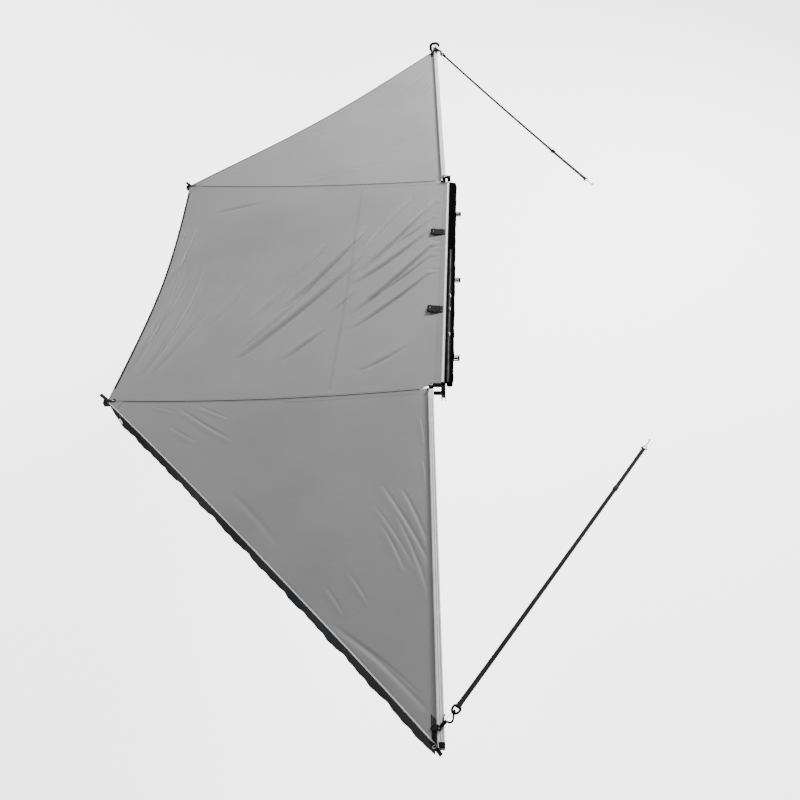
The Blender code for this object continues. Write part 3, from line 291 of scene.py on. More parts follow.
def awning_cloth(name, light, dark, thread=0.004, gloss=0.35):
    """Coated 300D polyester ripstop: soft sheen, faint square weave, slightly clouded dye.

    The real thread is 0.3 mm; the weave is drawn at 4 mm so that it can show.
    """
    material, tree, shader = begin(name, Roughness=0.62, Specular_IOR_Level=gloss)
    place = add(tree, "UVMap", uv_map="metres")
    clouds = add(tree, "TexNoise", {"Vector": place, "Scale": 1.7, "Detail": 3.0})
    threads = weave(tree, place, thread, thread)
    crumple = add(tree, "TexNoise", {"Vector": place, "Scale": 34.0, "Detail": 4.0})
    tint = add(tree, "MapRange", {"Value": threads, "To Min": 0.965, "To Max": 1.02})
    dye = shaded(tree, clouds, 0.3, 0.7, dark, light)
    coloured = add(tree, "VectorMath", {0: dye, "Scale": tint}, operation="SCALE")
    rough = add(tree, "MapRange", {"Value": crumple, "To Min": 0.5, "To Max": 0.7})
    fine = add(tree, "Bump", {"Height": threads, "Strength": 0.12, "Distance": 0.0004})
    soft = add(tree, "Bump", {"Height": crumple, "Strength": 0.25, "Distance": 0.003, "Normal": fine})
    feed(tree, shader, {"Base Color": coloured, "Roughness": rough, "Normal": soft})
    return material


def woven_strap(name, colour, worn, rib=0.0024):
    """Polypropylene webbing: dull ribs across the width, a raised selvedge, dusty high spots.

    The real rib is 1.2 mm; it is drawn at 2.4 mm so that it can show.
    """
    material, tree, shader = begin(name, Roughness=0.8, Specular_IOR_Level=0.2)
    place = add(tree, "UVMap", uv_map="metres")
    ribs = weave(tree, place, rib, 0.0035)
    dust = add(tree, "TexNoise", {"Vector": place, "Scale": 40.0, "Detail": 3.0})
    shade = shaded(tree, ribs, 0.0, 1.0, colour, worn)
    mixed = add(tree, "Mix", {0: dust, 6: paint(colour), 7: shade}, data_type="RGBA")
    bump = add(tree, "Bump", {"Height": ribs, "Strength": 0.5, "Distance": 0.0006})
    feed(tree, shader, {"Base Color": mixed.outputs[2], "Normal": bump})
    return material


def extruded_aluminium(name, heading):
    """Satin anodised extrusion: near white, with fine die lines along its length and small scuffs.

    Die lines are 0.1 mm on the real one; they are drawn at 1.5 mm.
    """
    material, tree, shader = begin(name, Metallic=0.1, Roughness=0.4)
    place = add(tree, "TexCoord").outputs["Object"]
    turned = add(tree, "Mapping", {"Vector": place, "Rotation": (0, 0, -math.radians(heading))})
    lengths = add(tree, "Mapping", {"Vector": turned, "Scale": (3.0, 650.0, 650.0)})
    lines = add(tree, "TexNoise", {"Vector": lengths, "Scale": 1.0, "Detail": 2.0})
    scuffs = add(tree, "TexNoise", {"Vector": place, "Scale": 9.0, "Detail": 6.0, "Roughness": 0.7})
    tint = add(tree, "MapRange", {"Value": lines, "To Min": 0.94, "To Max": 1.05})
    oxide = shaded(tree, scuffs, 0.42, 0.62, "#E2E3E5", "#F5F5F6")
    coloured = add(tree, "VectorMath", {0: oxide, "Scale": tint}, operation="SCALE")
    rough = add(tree, "MapRange", {"Value": lines, "To Min": 0.3, "To Max": 0.5})
    bump = add(tree, "Bump", {"Height": lines, "Strength": 0.15, "Distance": 0.0005})
    feed(tree, shader, {"Base Color": coloured, "Roughness": rough, "Normal": bump})
    return material


def speckled(name, light, dark, grain, metallic=0.0, roughness=0.5, gloss=0.5):
    """A fine-grained coating or moulding: colour, gloss and surface all follow one grain size in metres."""
    material, tree, shader = begin(name, Metallic=metallic, Roughness=roughness, Specular_IOR_Level=gloss)
    place = add(tree, "TexCoord").outputs["Object"]
    fine = add(tree, "TexNoise", {"Vector": place, "Scale": 1 / grain, "Detail": 3.0})
    broad = add(tree, "TexNoise", {"Vector": place, "Scale": 14.0, "Detail": 4.0})
    both = add(tree, "Math", {0: fine, 1: broad}, operation="MULTIPLY")
    limits = {"To Min": roughness - 0.1, "To Max": roughness + 0.1}
    rough = add(tree, "MapRange", {"Value": broad, **limits})
    bump = add(tree, "Bump", {"Height": fine, "Strength": 0.4, "Distance": 0.0003})
    shade = shaded(tree, both, 0.15, 0.4, dark, light)
    feed(tree, shader, {"Base Color": shade, "Roughness": rough, "Normal": bump})
    return material


# The canopy is one cloth in three tones: the front wing's copy is lighter as painted light, the middle
# panel's darker and the rear wing's darkest as painted shade.
FRONT_CANOPY_PAINTED_LIGHT = awning_cloth("coated_polyester_ripstop", "#8A8A8A", "#838383")
MIDDLE_CANOPY_PAINTED_SHADE = awning_cloth("coated_polyester_ripstop_middle", "#858585", "#7D7D7D")
REAR_CANOPY_PAINTED_SHADE = awning_cloth("coated_polyester_ripstop_rear", "#818181", "#797979")
SEAM_TAPE = awning_cloth("seam_tape_polyester", "#828282", "#797979", thread=0.003)
KEDER_TAPE = awning_cloth("grey_keder_tape", "#808080", "#757575", thread=0.003)
VALANCE = awning_cloth("black_polyester_valance", "#2B2C2E", "#1A1B1C", gloss=0.0)
COVER = awning_cloth("black_pvc_coated_cover", "#0A0A0B", "#060607", thread=0.003, gloss=0.0)
WEBBING = woven_strap("polypropylene_webbing", "#0D0D0E", "#1E1E20")
ALUMINIUM = {heading: extruded_aluminium(f"anodised_aluminium_{heading:.0f}", heading)
             for heading in (90.0, 93.3, 180.2, 183.0, 273.0)}
TUBE_ALUMINIUM = speckled("mill_aluminium_tube", "#D9DADC", "#B4B6B9", 0.002, metallic=0.8, roughness=0.35)
ZINC = speckled("zinc_plated_steel", "#B9BBBD", "#85888C", 0.0012, metallic=0.9, roughness=0.35)
POWDER_BLACK = speckled("black_powder_coated_steel", "#121314", "#0A0A0B", 0.0015, roughness=0.45, gloss=0.06)
NYLON = speckled("glass_filled_nylon", "#121314", "#0A0A0B", 0.001, roughness=0.5, gloss=0.06)
RUBBER = speckled("moulded_rubber", "#1B1B1C", "#0E0E0F", 0.002, roughness=0.75, gloss=0.15)
THREAD = speckled("bonded_nylon_thread", "#8C8C8D", "#747475", 0.001, roughness=0.7)
DARK_THREAD = speckled("black_nylon_thread", "#1E1E20", "#121214", 0.001, roughness=0.7, gloss=0.2)
WHITE_NYLON = speckled("white_acetal_moulding", "#F2F2F0", "#DCDCDA", 0.0015, roughness=0.4)
BLACK_ZINC = speckled("black_zinc_plated_steel", "#141516", "#0B0B0C", 0.0012, roughness=0.5, gloss=0.02)
PALE_PIPING = speckled("pale_vinyl_piping", "#D6D6D6", "#BEBEBE", 0.002, roughness=0.6, gloss=0.2)
# Painted shade: a grey that stands in for the shadow in the arms' slots.
SLOT_PAINTED_SHADE = speckled("grey_slot_liner", "#8E8F91", "#7A7B7D", 0.002, roughness=0.6, gloss=0.2)
ZIP_TEETH = speckled("zip_coil_nylon", "#9A9B9D", "#6E6F71", 0.001, roughness=0.45)


# Camera, light and floor

def stand_camera():
    """The photograph's camera: yaw, pitch and roll in degrees, focal length in pixels of an 800 px frame."""
    data = bpy.data.cameras.new("photo_camera")
    data.sensor_width = 36.0
    data.lens = 826.39 * data.sensor_width / 800
    data.clip_end = 100
    camera = bpy.data.objects.new("photo_camera", data)
    world = Matrix.Translation((0.0866, -4.6855, 4.0405))
    for degrees, axis in ((6.918, "Z"), (41.206, "X"), (-5.045, "Z")):
        world = world @ Matrix.Rotation(math.radians(degrees), 4, axis)
    camera.matrix_world = world
    bpy.context.scene.collection.objects.link(camera)
    bpy.context.scene.camera = camera


def area_light(name, place, target, size, power):
    """A square soft white light that faces a target."""
    data = bpy.data.lights.new(name, "AREA")
    data.size, data.energy = size, power
    light = bpy.data.objects.new(name, data)
    facing = (Vector(target) - Vector(place)).to_track_quat("-Z", "Y")
    light.matrix_world = Matrix.Translation(place) @ facing.to_matrix().to_4x4()
    bpy.context.scene.collection.objects.link(light)


def light_scene():
    """A white room: a broad light ahead, a far one off the awning's front corner, and a floor lit from below.

    The far one rakes across the cloth's folds. The floor glows, so that it stays the palest thing in view.
    """
    world = bpy.data.worlds.new("white_room")
    world.use_nodes = True
    feed(world.node_tree, world.node_tree.nodes["Background"], {"Color": (1, 1, 1, 1), "Strength": 0.38})
    bpy.context.scene.world = world
    area_light("ahead", (3.4, 4.6, 4.2), (-0.6, 0.6, 0), 2.6, 1080)
    area_light("raking", (-15.0, 9.0, 7.0), (-1.0, 0.0, 0), 3.6, 2600)
    ends = (-FLOOR_HALF, FLOOR_HALF)
    corners = np.array([[(x, y, FLOOR_Z) for y in ends] for x in ends])
    surface("studio_floor", corners, lit_floor("pale_studio_floor"))


def lit_floor(name):
    """Opal acrylic sheet lit from below: white, dull, with a faint cloudiness in its glow."""
    material, tree, shader = begin(name, Roughness=0.9, Specular_IOR_Level=0.1, Emission_Strength=3.2)
    place = add(tree, "TexCoord").outputs["Object"]
    clouds = add(tree, "TexNoise", {"Vector": place, "Scale": 0.15, "Detail": 2.0})
    tint = shaded(tree, clouds, 0.3, 0.7, "#F3F3F3", "#FAFAFA")
    feed(tree, shader, {"Base Color": tint, "Emission Color": tint})
    return material


stand_camera()
light_scene()


# Where the arms and the cloth stand

class Arm:
    """One arm's place: its pivot, heading in degrees, level and length, as in the part."""

    def __init__(self, name, pin_x, end, heading, level, length, fabric_side):
        angle = math.radians(heading)
        self.name, self.heading, self.level, self.length = name, heading, level, length
        self.fabric_side = fabric_side
        self.pin = np.array([pin_x, end * PIVOT_HALF, 0.0])
        self.along = np.array([math.cos(angle), math.sin(angle), 0.0])
        self.left = np.array([-math.sin(angle), math.cos(angle), 0.0])

    def at(self, along, left=0.0, up=0.0):
        """Points at distances along, left of and above the arm's lower face."""
        return spread(self.pin, (along, left, self.level + np.asarray(up)), (self.along, self.left, UP))


FRONT = Arm("front", -0.0963, 1, 93.3, UPPER_LEVEL, 2.250, 1)
MID_FRONT = Arm("mid_front", -0.0963, 1, 180.2, LOWER_LEVEL, 2.172, 0)
MID_REAR = Arm("mid_rear", -0.1353, -1, 183.0, LOWER_LEVEL, 2.145, 0)
REAR = Arm("rear", -0.1353, -1, -87.0, UPPER_LEVEL, 2.250, -1)
ARMS = (FRONT, MID_FRONT, MID_REAR, REAR)


def seam_line(mid, share):
    """The seam over a mid arm: straight from hinge to tip, bowed rearwards by 4 s (1 - s) of the bow."""
    share = np.asarray(share, float)
    place = mid.at(WING_START + share * (mid.length - CAP_LENGTH - WING_START))
    place[..., 1] -= SEAM_BOW * 4 * share * (1 - share)
    place[..., 2] = REST_Z
    return place


def creases(place, lines):
    """Heights of cloth folds over a plan: each a narrow valley beside a broad ridge, along a bowed line.

    With t the share of the way along and d the distance off the bowed line, a fold of width w has the height
    h (0.8 exp(-((d + 0.9 w) / w)^2) - 1.5 exp(-(d / (0.36 w))^2)) sin(pi t)^0.6.
    """
    total = np.zeros(place.shape[:-1])
    for x0, y0, x1, y1, bow, width, height in lines:
        run = np.array([x1 - x0, y1 - y0])
        length = np.hypot(*run)
        run = run / length
        offset = place[..., :2] - (x0, y0)
        t = offset @ run / length
        d = offset @ np.array([-run[1], run[0]]) - bow * 4 * t * (1 - t)
        ridge = 0.8 * np.exp(-((d + 0.9 * width) / width) ** 2) - 1.5 * np.exp(-(d / (0.36 * width)) ** 2)
        total += height * ridge * np.sin(math.pi * np.clip(t, 0, 1)) ** 0.6
    return total


class Wing:
    """A triangular end panel, from the seam over its mid arm to the keder rail of its outer arm."""

    def __init__(self, end, outer, mid, hem_bow, lines):
        self.end, self.outer, self.mid, self.hem_bow, self.lines = end, outer, mid, hem_bow, lines
        self.reach = outer.length - OUTER_HEM_INSET - WING_START
        hem = self.rail(1.0) - seam_line(mid, 1.0)
        self.outward = unit([-hem[1], hem[0], 0]) * end

    def rail(self, share):
        """The edge that lies in the outer arm's keder groove."""
        offset = self.outer.fabric_side * (ARM_HALF_WIDTH + KEDER_DEPTH - KEDER_GRIP)
        return self.outer.at(WING_START + np.asarray(share, float) * self.reach, offset, ARM_KEDER_Z)

    def width(self, along):
        """The straight distance from seam to rail."""
        return np.linalg.norm(self.rail(along) - seam_line(self.mid, along), axis=-1)

    def at(self, along, across, lift=0.0):
        """The panel's middle surface, hinge to hem along and seam to rail across, plus a lift.

        A straight line from seam to rail, drawn in at the hem by 4 a (1 - a) b^2 of the bow. It is flat over
        the mid arm, then rises smoothly to the rail less a sag that grows towards the hem, plus the folds.
        """
        along, across = np.broadcast_arrays(np.asarray(along, float), np.asarray(across, float))
        seam = seam_line(self.mid, along)
        edge = self.rail(along)
        width = self.width(along)
        from_seam = across * width - FLAT_OVER_ARM
        slack = np.clip(from_seam / np.maximum(width - FLAT_OVER_ARM - LEVEL_BEFORE_RAIL, 0.01), 0, 1)
        from_rail = np.maximum(1 - across - FLAT_AT_RAIL / width, 0)
        sag = WING_SAG * along * (4 * slack * from_rail) ** 2
        bow = self.hem_bow * 4 * across * (1 - across) * along ** 2
        place = seam + (edge - seam) * across[..., None] - self.outward * bow[..., None]
        free = smooth(from_seam / 0.05) * smooth((1 - across) * width / 0.03 - 1)
        place[..., 2] = REST_Z + (edge[..., 2] - REST_Z) * smooth(slack) - sag + lift
        place[..., 2] += free * creases(place, self.lines)
        return place


FRONT_WING_LINES = (
    (-1.35, 1.18, -0.85, 1.30, 0.02, 0.030, 0.0035),
    (-1.95, 1.32, -1.45, 1.62, 0.01, 0.022, 0.0030),
    (-0.60, 2.55, -0.22, 3.10, -0.02, 0.040, 0.0045),
    (-0.36, 2.45, -0.17, 2.90, 0.01, 0.025, 0.0035),
    (-1.60, 1.75, -1.05, 2.10, 0.02, 0.040, 0.0035),
    (-0.80, 1.45, -0.30, 1.85, 0.02, 0.060, 0.0040),
    (-1.20, 1.25, -0.55, 1.45, 0.01, 0.030, 0.0028),
)
REAR_WING_LINES = (
    (-0.40, -1.90, -0.10, -2.43, 0.012, 0.026, 0.0046),
    (-0.28, -1.93, -0.11, -2.32, 0.012, 0.024, 0.0053),
    (-0.165, -1.72, -0.13, -1.95, 0.004, 0.014, 0.0031),
    (-0.38, -2.18, -0.24, -2.46, 0.008, 0.020, 0.0034),
    (-0.31, -2.10, -0.10, -2.62, 0.016, 0.022, 0.0040),
    (-0.54, -2.48, -0.42, -2.66, 0.004, 0.018, 0.0025),
    (-0.66, -2.56, -0.55, -2.72, 0.004, 0.018, 0.0025),
    (-0.43, -2.05, -0.18, -2.46, 0.012, 0.018, 0.0028),
    (-1.75, -1.32, -1.36, -1.57, -0.008, 0.022, 0.0043),
    (-1.67, -1.28, -1.41, -1.40, -0.004, 0.016, 0.0031),
    (-2.02, -1.27, -1.78, -1.35, -0.004, 0.014, 0.0028),
    (-1.78, -1.47, -1.57, -1.59, -0.004, 0.018, 0.0025),
    (-0.60, -2.78, -0.09, -3.22, 0.02, 0.034, 0.0046),
    (-0.45, -2.88, -0.12, -3.15, 0.01, 0.020, 0.0025),
    (-0.195, -1.38, -0.155, -1.62, 0.003, 0.014, 0.0025),
    (-1.30, -1.95, -0.95, -2.32, 0.01, 0.045, 0.0022),
)
MIDDLE_LINES = (
    (-0.33, 0.94, -0.68, 0.34, -0.01, 0.030, 0.0097),
    (-0.13, 0.93, -0.73, 0.00, 0.02, 0.034, 0.0170),
    (-0.16, 0.55, -0.74, -0.10, 0.02, 0.030, 0.0130),
    (-0.10, 0.43, -0.71, -0.42, 0.01, 0.028, 0.0170),
    (-0.10, 0.09, -0.72, -0.60, 0.01, 0.024, 0.0105),
    (-0.68, 0.55, -1.24, -0.38, 0.01, 0.026, 0.0170),
    (-0.69, 0.23, -1.45, -0.88, 0.01, 0.034, 0.0170),
    (-1.02, -0.05, -1.43, -0.77, 0.01, 0.026, 0.0105),
    (-1.22, -0.10, -1.43, -0.47, 0.00, 0.020, 0.0082),
    (-0.72, -0.17, -0.87, -0.41, 0.00, 0.018, 0.0082),
    (-0.89, -0.58, -1.14, -0.89, 0.00, 0.026, 0.0090),
    (-0.10, 0.29, -0.60, -0.27, 0.01, 0.020, 0.0090),
    (-0.98, 0.36, -1.19, -0.01, 0.00, 0.022, 0.0073),
    (-0.12, 0.72, -0.50, 0.30, 0.01, 0.022, 0.0082),
    (-2.09, 0.36, -2.16, -0.98, 0.05, 0.028, 0.0062),
    (-1.97, 0.24, -2.15, -0.82, 0.03, 0.030, 0.0066),
    (-1.89, 0.22, -2.07, -1.03, 0.05, 0.036, 0.0070),
    (-1.71, 0.05, -2.00, -1.01, 0.04, 0.034, 0.0056),
    (-2.05, 0.70, -2.14, -0.12, 0.02, 0.020, 0.0060),
    (-1.53, -0.06, -1.71, -0.52, 0.01, 0.030, 0.0050),
    (-2.12, 0.72, -2.18, 0.20, 0.01, 0.014, 0.0045),
    (-0.30, -0.75, -0.62, -1.00, 0.01, 0.034, 0.0048),
    (-1.55, 0.90, -1.95, 0.75, 0.00, 0.045, 0.0040),
)
FRONT_WING = Wing(1, FRONT, MID_FRONT, 0.045, FRONT_WING_LINES)
REAR_WING = Wing(-1, REAR, MID_REAR, 0.025, REAR_WING_LINES)

MIDS = {1: MID_FRONT, -1: MID_REAR}
EDGE_KNOTS = (0.0, 0.01, 0.03, 0.05)


def middle_edge(mid, end, share):
    """The middle panel's edge from the beam's groove, past the hinge, to the tip, by share of its rows."""
    fine = np.linspace(0, 1, 81)
    start = seam_line(mid, 0.0)
    clear_y = end * (BEAM_HALF - 0.007)
    fixed = np.array([
        [BEAM_FACE + KEDER_GRIP, clear_y, RAIL_Z],
        [BEAM_FACE - KEDER_DEPTH, clear_y, RAIL_Z],
        [start[0] + 0.045, clear_y, REST_Z],
    ])
    knots = np.concatenate([fixed, seam_line(mid, fine) - (0, end * 0.0006, 0)])
    stations = np.concatenate([EDGE_KNOTS[:3], EDGE_KNOTS[3] + (1 - EDGE_KNOTS[3]) * fine])
    return np.stack([np.interp(share, stations, knots[:, i]) for i in range(3)], axis=-1)


def middle_at(share, across, lift=0.0):
    """The middle panel's surface: rows from beam to hem, each a line from rear to front edge.

    It sags by sin(0.75 pi a) between the arms, its hem is drawn in by 4 c (1 - c) a^3 of the bow, and it
    has folds.
    """
    share, across = np.broadcast_arrays(np.asarray(share, float), np.asarray(across, float))
    front = middle_edge(MID_FRONT, 1, share)
    rear = middle_edge(MID_REAR, -1, share)
    mouth = BEAM_FACE - KEDER_DEPTH
    reach = middle_edge(MID_FRONT, 1, 1.0)[0] - mouth
    along = np.clip((front[..., 0] - mouth) / reach, 0, 1)
    width = np.linalg.norm(front - rear, axis=-1)
    place = rear + (front - rear) * across[..., None]
    from_edge = np.minimum(across, 1 - across) - FLAT_OVER_ARM / width
    slack = smooth(2 * from_edge)
    sag = MIDDLE_SAG * slack * np.sin(0.75 * math.pi * along)
    place[..., 0] += MIDDLE_HEM_BOW * 4 * across * (1 - across) * along ** 3
    free = smooth(from_edge * width / 0.05) * smooth((mouth - place[..., 0]) / 0.05)
    place[..., 2] += lift - sag + free * creases(place, MIDDLE_LINES)
    return place


# How each piece of cloth crumples: the joint, the way it flattens, the plane it gathers at and what it keeps.
WING_TILT = math.radians(1.6)
MIDDLE_TILT = math.radians(1.8)
WING_GATHER = 0.0195
MIDDLE_GATHER_X = -0.0753
CLOTH_KEPT = 0.003
SEAM_KEPT = 0.1
STRAP_KEPT = 0.04


def wing_fold(wing):
    """A wing closes up beside its mid arm, hanging as a curtain in the room between the two lanes."""
    axis = (0.0, wing.end * math.cos(WING_TILT), math.sin(WING_TILT))
    anchor = (0.0, float(wing.mid.pin[1]) + wing.end * WING_GATHER, REST_Z)
    return (f"{wing.mid.name}_swing", axis, anchor, CLOTH_KEPT)


def middle_fold(end):
    """Each half of the middle panel closes up against the beam, hanging beside its face."""
    axis = (math.cos(MIDDLE_TILT), 0.0, -math.sin(MIDDLE_TILT))
    return (f"{MIDS[end].name}_swing", axis, (MIDDLE_GATHER_X, 0.0, RAIL_Z), CLOTH_KEPT)


def seam_fold(mid):
    """What is sewn over a mid arm draws in to the arm's middle."""
    return (f"{mid.name}_swing", (0, 1, 0), tuple(mid.at(1.0)), SEAM_KEPT)


# The canopy


def row_length(row):
    return float(travelled(row)[-1])


def half_span(end, inset, count):
    """Across values over one half of the middle panel, from its middle line to an inset from its own edge."""
    return np.linspace(0.5, 1.0 - inset, count) if end > 0 else np.linspace(inset, 0.5, count)


def wing_panel(wing):
    """A wing's cloth, fine enough for its folds."""
    along = np.concatenate([np.linspace(HINGE_REACH, 0, 9)[:-1], np.linspace(0, 1, 225)])[:, None]
    width = wing.width(along)
    start = 0.0003 / width
    near_rail = 1 - (KEDER_DEPTH + KEDER_GRIP) / width
    inner = start + (near_rail - start) * np.linspace(0, 1, 184)[None, :]
    points = wing.at(along, np.concatenate([inner, (near_rail + 1) / 2, np.ones_like(width)], axis=1))
    outer, mid = wing.outer.name, wing.mid.name
    # The front wing takes the lighter copy of the cloth, painted light; the rear wing takes the darker copy,
    # painted shade.
    cloth = FRONT_CANOPY_PAINTED_LIGHT if wing.end > 0 else REAR_CANOPY_PAINTED_SHADE
    piece = sheet(f"{outer}_wing_cloth", points, CLOTH, cloth)
    carried(piece, f"{mid}_arm", wing_fold(wing), f"{outer}_canopy", "canopy_cloth")


def middle_panel(end):
    """One half of the middle panel, from beam to hem and from its mid arm to the panel's middle line."""
    share = np.concatenate([EDGE_KNOTS[:3], np.linspace(EDGE_KNOTS[3], 1, 280)])[:, None]
    points = middle_at(share, half_span(end, 0.0, 160)[None, :])
    mid = MIDS[end].name
    # The middle panel's copy of the cloth is darker, painted shade.
    piece = sheet(f"middle_cloth_{mid[4:]}", points, CLOTH, MIDDLE_CANOPY_PAINTED_SHADE)
    carried(piece, "beam", middle_fold(end), "middle_canopy", "canopy_cloth")


def hanging(hem, outward, stations, down, tapered=False):
    """The edge cloth's surface at stations along a hem and shares of the way down.

    A tapered one grows to its full drop over the first stretch from its mid arm's tip. Its lean is a steady
    flare and the wave 0.5 sin(s / 0.31 m) + 0.35 sin(s / 0.173 m) + 0.3 sin(s / 0.087 m), in turns. Both grow
    downwards.
    """
    run = travelled(hem)
    s, down = np.broadcast_arrays(stations, down)
    top = np.stack([np.interp(s, run, hem[:, i]) for i in range(3)], axis=-1)
    turns = 2 * math.pi * s
    wave = 0.5 * np.sin(turns / 0.31 + 0.8) + 0.35 * np.sin(turns / 0.173 + 2.1) + 0.3 * np.sin(turns / 0.087)
    ends = smooth(np.minimum(s, run[-1] - s) / 0.08)
    lean = down * (VALANCE_FLARE * (0.3 + 0.7 * ends) + 0.006 * wave * ends) - HEM_TUCK * (1 - down)
    full = TAPER_START + (1 - TAPER_START) * smooth(s / TAPER_RUN) if tapered else 1.0
    drop = 0.0015 + full * (VALANCE_DROP * down + 0.004 * down * np.sin(turns / 0.41))
    return top + outward * lean[..., None] - UP * drop[..., None]


def valance(name, hem, outward, body, fold, node, tapered=False):
    """The black edge cloth that hangs from a hem, with its doubled lower hem."""
    run = row_length(hem)
    stations = np.linspace(0, run, int(run / VALANCE_STEP))[None, :]
    down = np.linspace(0, 1, 16)[:, None]
    points = hanging(hem, outward, stations, down, tapered)
    uv = np.stack(np.broadcast_arrays(stations, VALANCE_DROP * down), axis=-1)
    piece = carried(sheet(name, points, BINDING, VALANCE, uv), body, fold, node, "valance_cloth")
    points = hanging(hem, outward, stations, np.linspace(0.86, 1.006, 4)[:, None], tapered) + outward * 0.0011
    carried(sheet(f"{name}_hem", points, CLOTH, VALANCE), body, fold)


def hem_of(points, gap_start, gap_end):
    """A hem line less a gap at each end."""
    run = travelled(points)
    return points[(run >= gap_start) & (run <= run[-1] - gap_end)]


def wing_hem(wing):
    """A wing's hem line, less what its edge cloth leaves bare at both ends."""
    return hem_of(wing.at(1.0, np.linspace(0, 1, 400)), VALANCE_MID_GAP, VALANCE_OUTER_GAP)


def build_cloth():
    for wing in (FRONT_WING, REAR_WING):
        wing_panel(wing)
        valance(f"{wing.outer.name}_valance_cloth", wing_hem(wing), wing.outward, f"{wing.mid.name}_arm",
                wing_fold(wing), f"{wing.outer.name}_valance", tapered=True)
    for end, mid in MIDS.items():
        middle_panel(end)
        gaps = (0.0, VALANCE_MID_GAP)[::end]
        hem = hem_of(middle_at(1.0, half_span(end, 0.0, 200)), *gaps)
        valance(f"middle_valance_cloth_{mid.name[4:]}", hem, np.array([-1.0, 0, 0]), "beam",
                middle_fold(end), "middle_valance")


build_cloth()


# Seams, bindings, patches and stitches

TAPE_LIFT = 0.0009
TAPE_STEPS = np.linspace(0, 1, 4)[None, :]
STITCH_PITCH = 0.007
STITCH_LIFT = TAPE_LIFT + 0.0007
RAIL_EDGE = KEDER_DEPTH + KEDER_GRIP - 0.001
WELT_WIDTH = 0.010
RAIL_TAPE_WIDTH = 0.020
SEAM_TAPE_STEPS = 0.0008 + 0.012 * TAPE_STEPS
BINDING_WIDTH = 0.015
JOIN_WIDTH = 0.016
SEAM_ROWS = (0.003, 0.0105)
RAIL_ROWS = (0.012, 0.027)
JOIN_ROWS = (-0.005, 0.005)
HEM_ROWS = (0.004, 0.012)
PATCH_INSET = 0.0135
PATCH_WIDTH = 0.0285
PATCH_REACH = 0.110
MIDDLE_REACH = 2.10
MIDDLE_WIDTH = 2.28
JOIN_SHARE = 0.322


def stitches(name, lines, finish, length=0.0042, radius=0.0005):
    """Rows of thread: each stitch is a spindle of four sides, set along its line at the pitch of the row.

    The real pitch is 3.5 mm; it is drawn at 7 mm.
    """
    rows = [resampled(line, STITCH_PITCH) for line in lines]
    places = np.concatenate(rows)
    ways = np.concatenate([unit(np.gradient(row, axis=0)) for row in rows])
    side = unit(np.cross(ways, UP))
    lift = np.cross(side, ways)
    turn = full_turn(4) + math.pi / 4
    ring = np.stack([np.cos(turn), np.sin(turn)], axis=1) * radius
    corners = [places - ways * length / 2]
    corners += [places + ways * length * shift + side * a + lift * b
                for shift in (-0.25, 0.25) for a, b in ring]
    corners.append(places + ways * length / 2)
    points = np.stack(corners, axis=1)
    spindle = [(0, 1 + (i + 1) % 4, 1 + i) for i in range(4)]
    spindle += [(1 + i, 1 + (i + 1) % 4, 5 + (i + 1) % 4, 5 + i) for i in range(4)]
    spindle += [(9, 5 + i, 5 + (i + 1) % 4) for i in range(4)]
    return finished(name, points.reshape(-1, 3), repeated(spindle, 10, len(places)), finish)


def repeated(faces, corners, count):
    """The faces of one small solid, repeated for a row of them."""
    starts = range(0, corners * count, corners)
    return [tuple(start + corner for corner in face) for start in starts for face in faces]


def corner_patch(at, corner, reach, sizes, count=14):
    """A patch over a corner of a panel: a polar grid whose outer edge is a straight line across it."""
    turn = np.linspace(0, math.pi / 2, count)[None, :]
    out = np.linspace(0.02, 1, count)[:, None] * reach / (np.cos(turn) + np.sin(turn))
    first = corner[0] + (-1 if corner[0] else 1) * out * np.cos(turn) / sizes[0]
    second = corner[1] + (-1 if corner[1] else 1) * out * np.sin(turn) / sizes[1]
    return at(first, second, TAPE_LIFT + 0.0004)


def upward(points):
    """The same grid, turned so that its normals point up."""
    normal = np.cross(np.gradient(points, axis=0), np.gradient(points, axis=1))
    return points if normal[..., 2].mean() > 0 else points[:, ::-1]


def sewn(name, points, finish, body, fold, thickness=TAPE):
    """A strip or patch of cloth sewn on a panel, carried as the panel is."""
    points = upward(points)
    return carried(sheet(name, points, thickness, finish), body, fold)


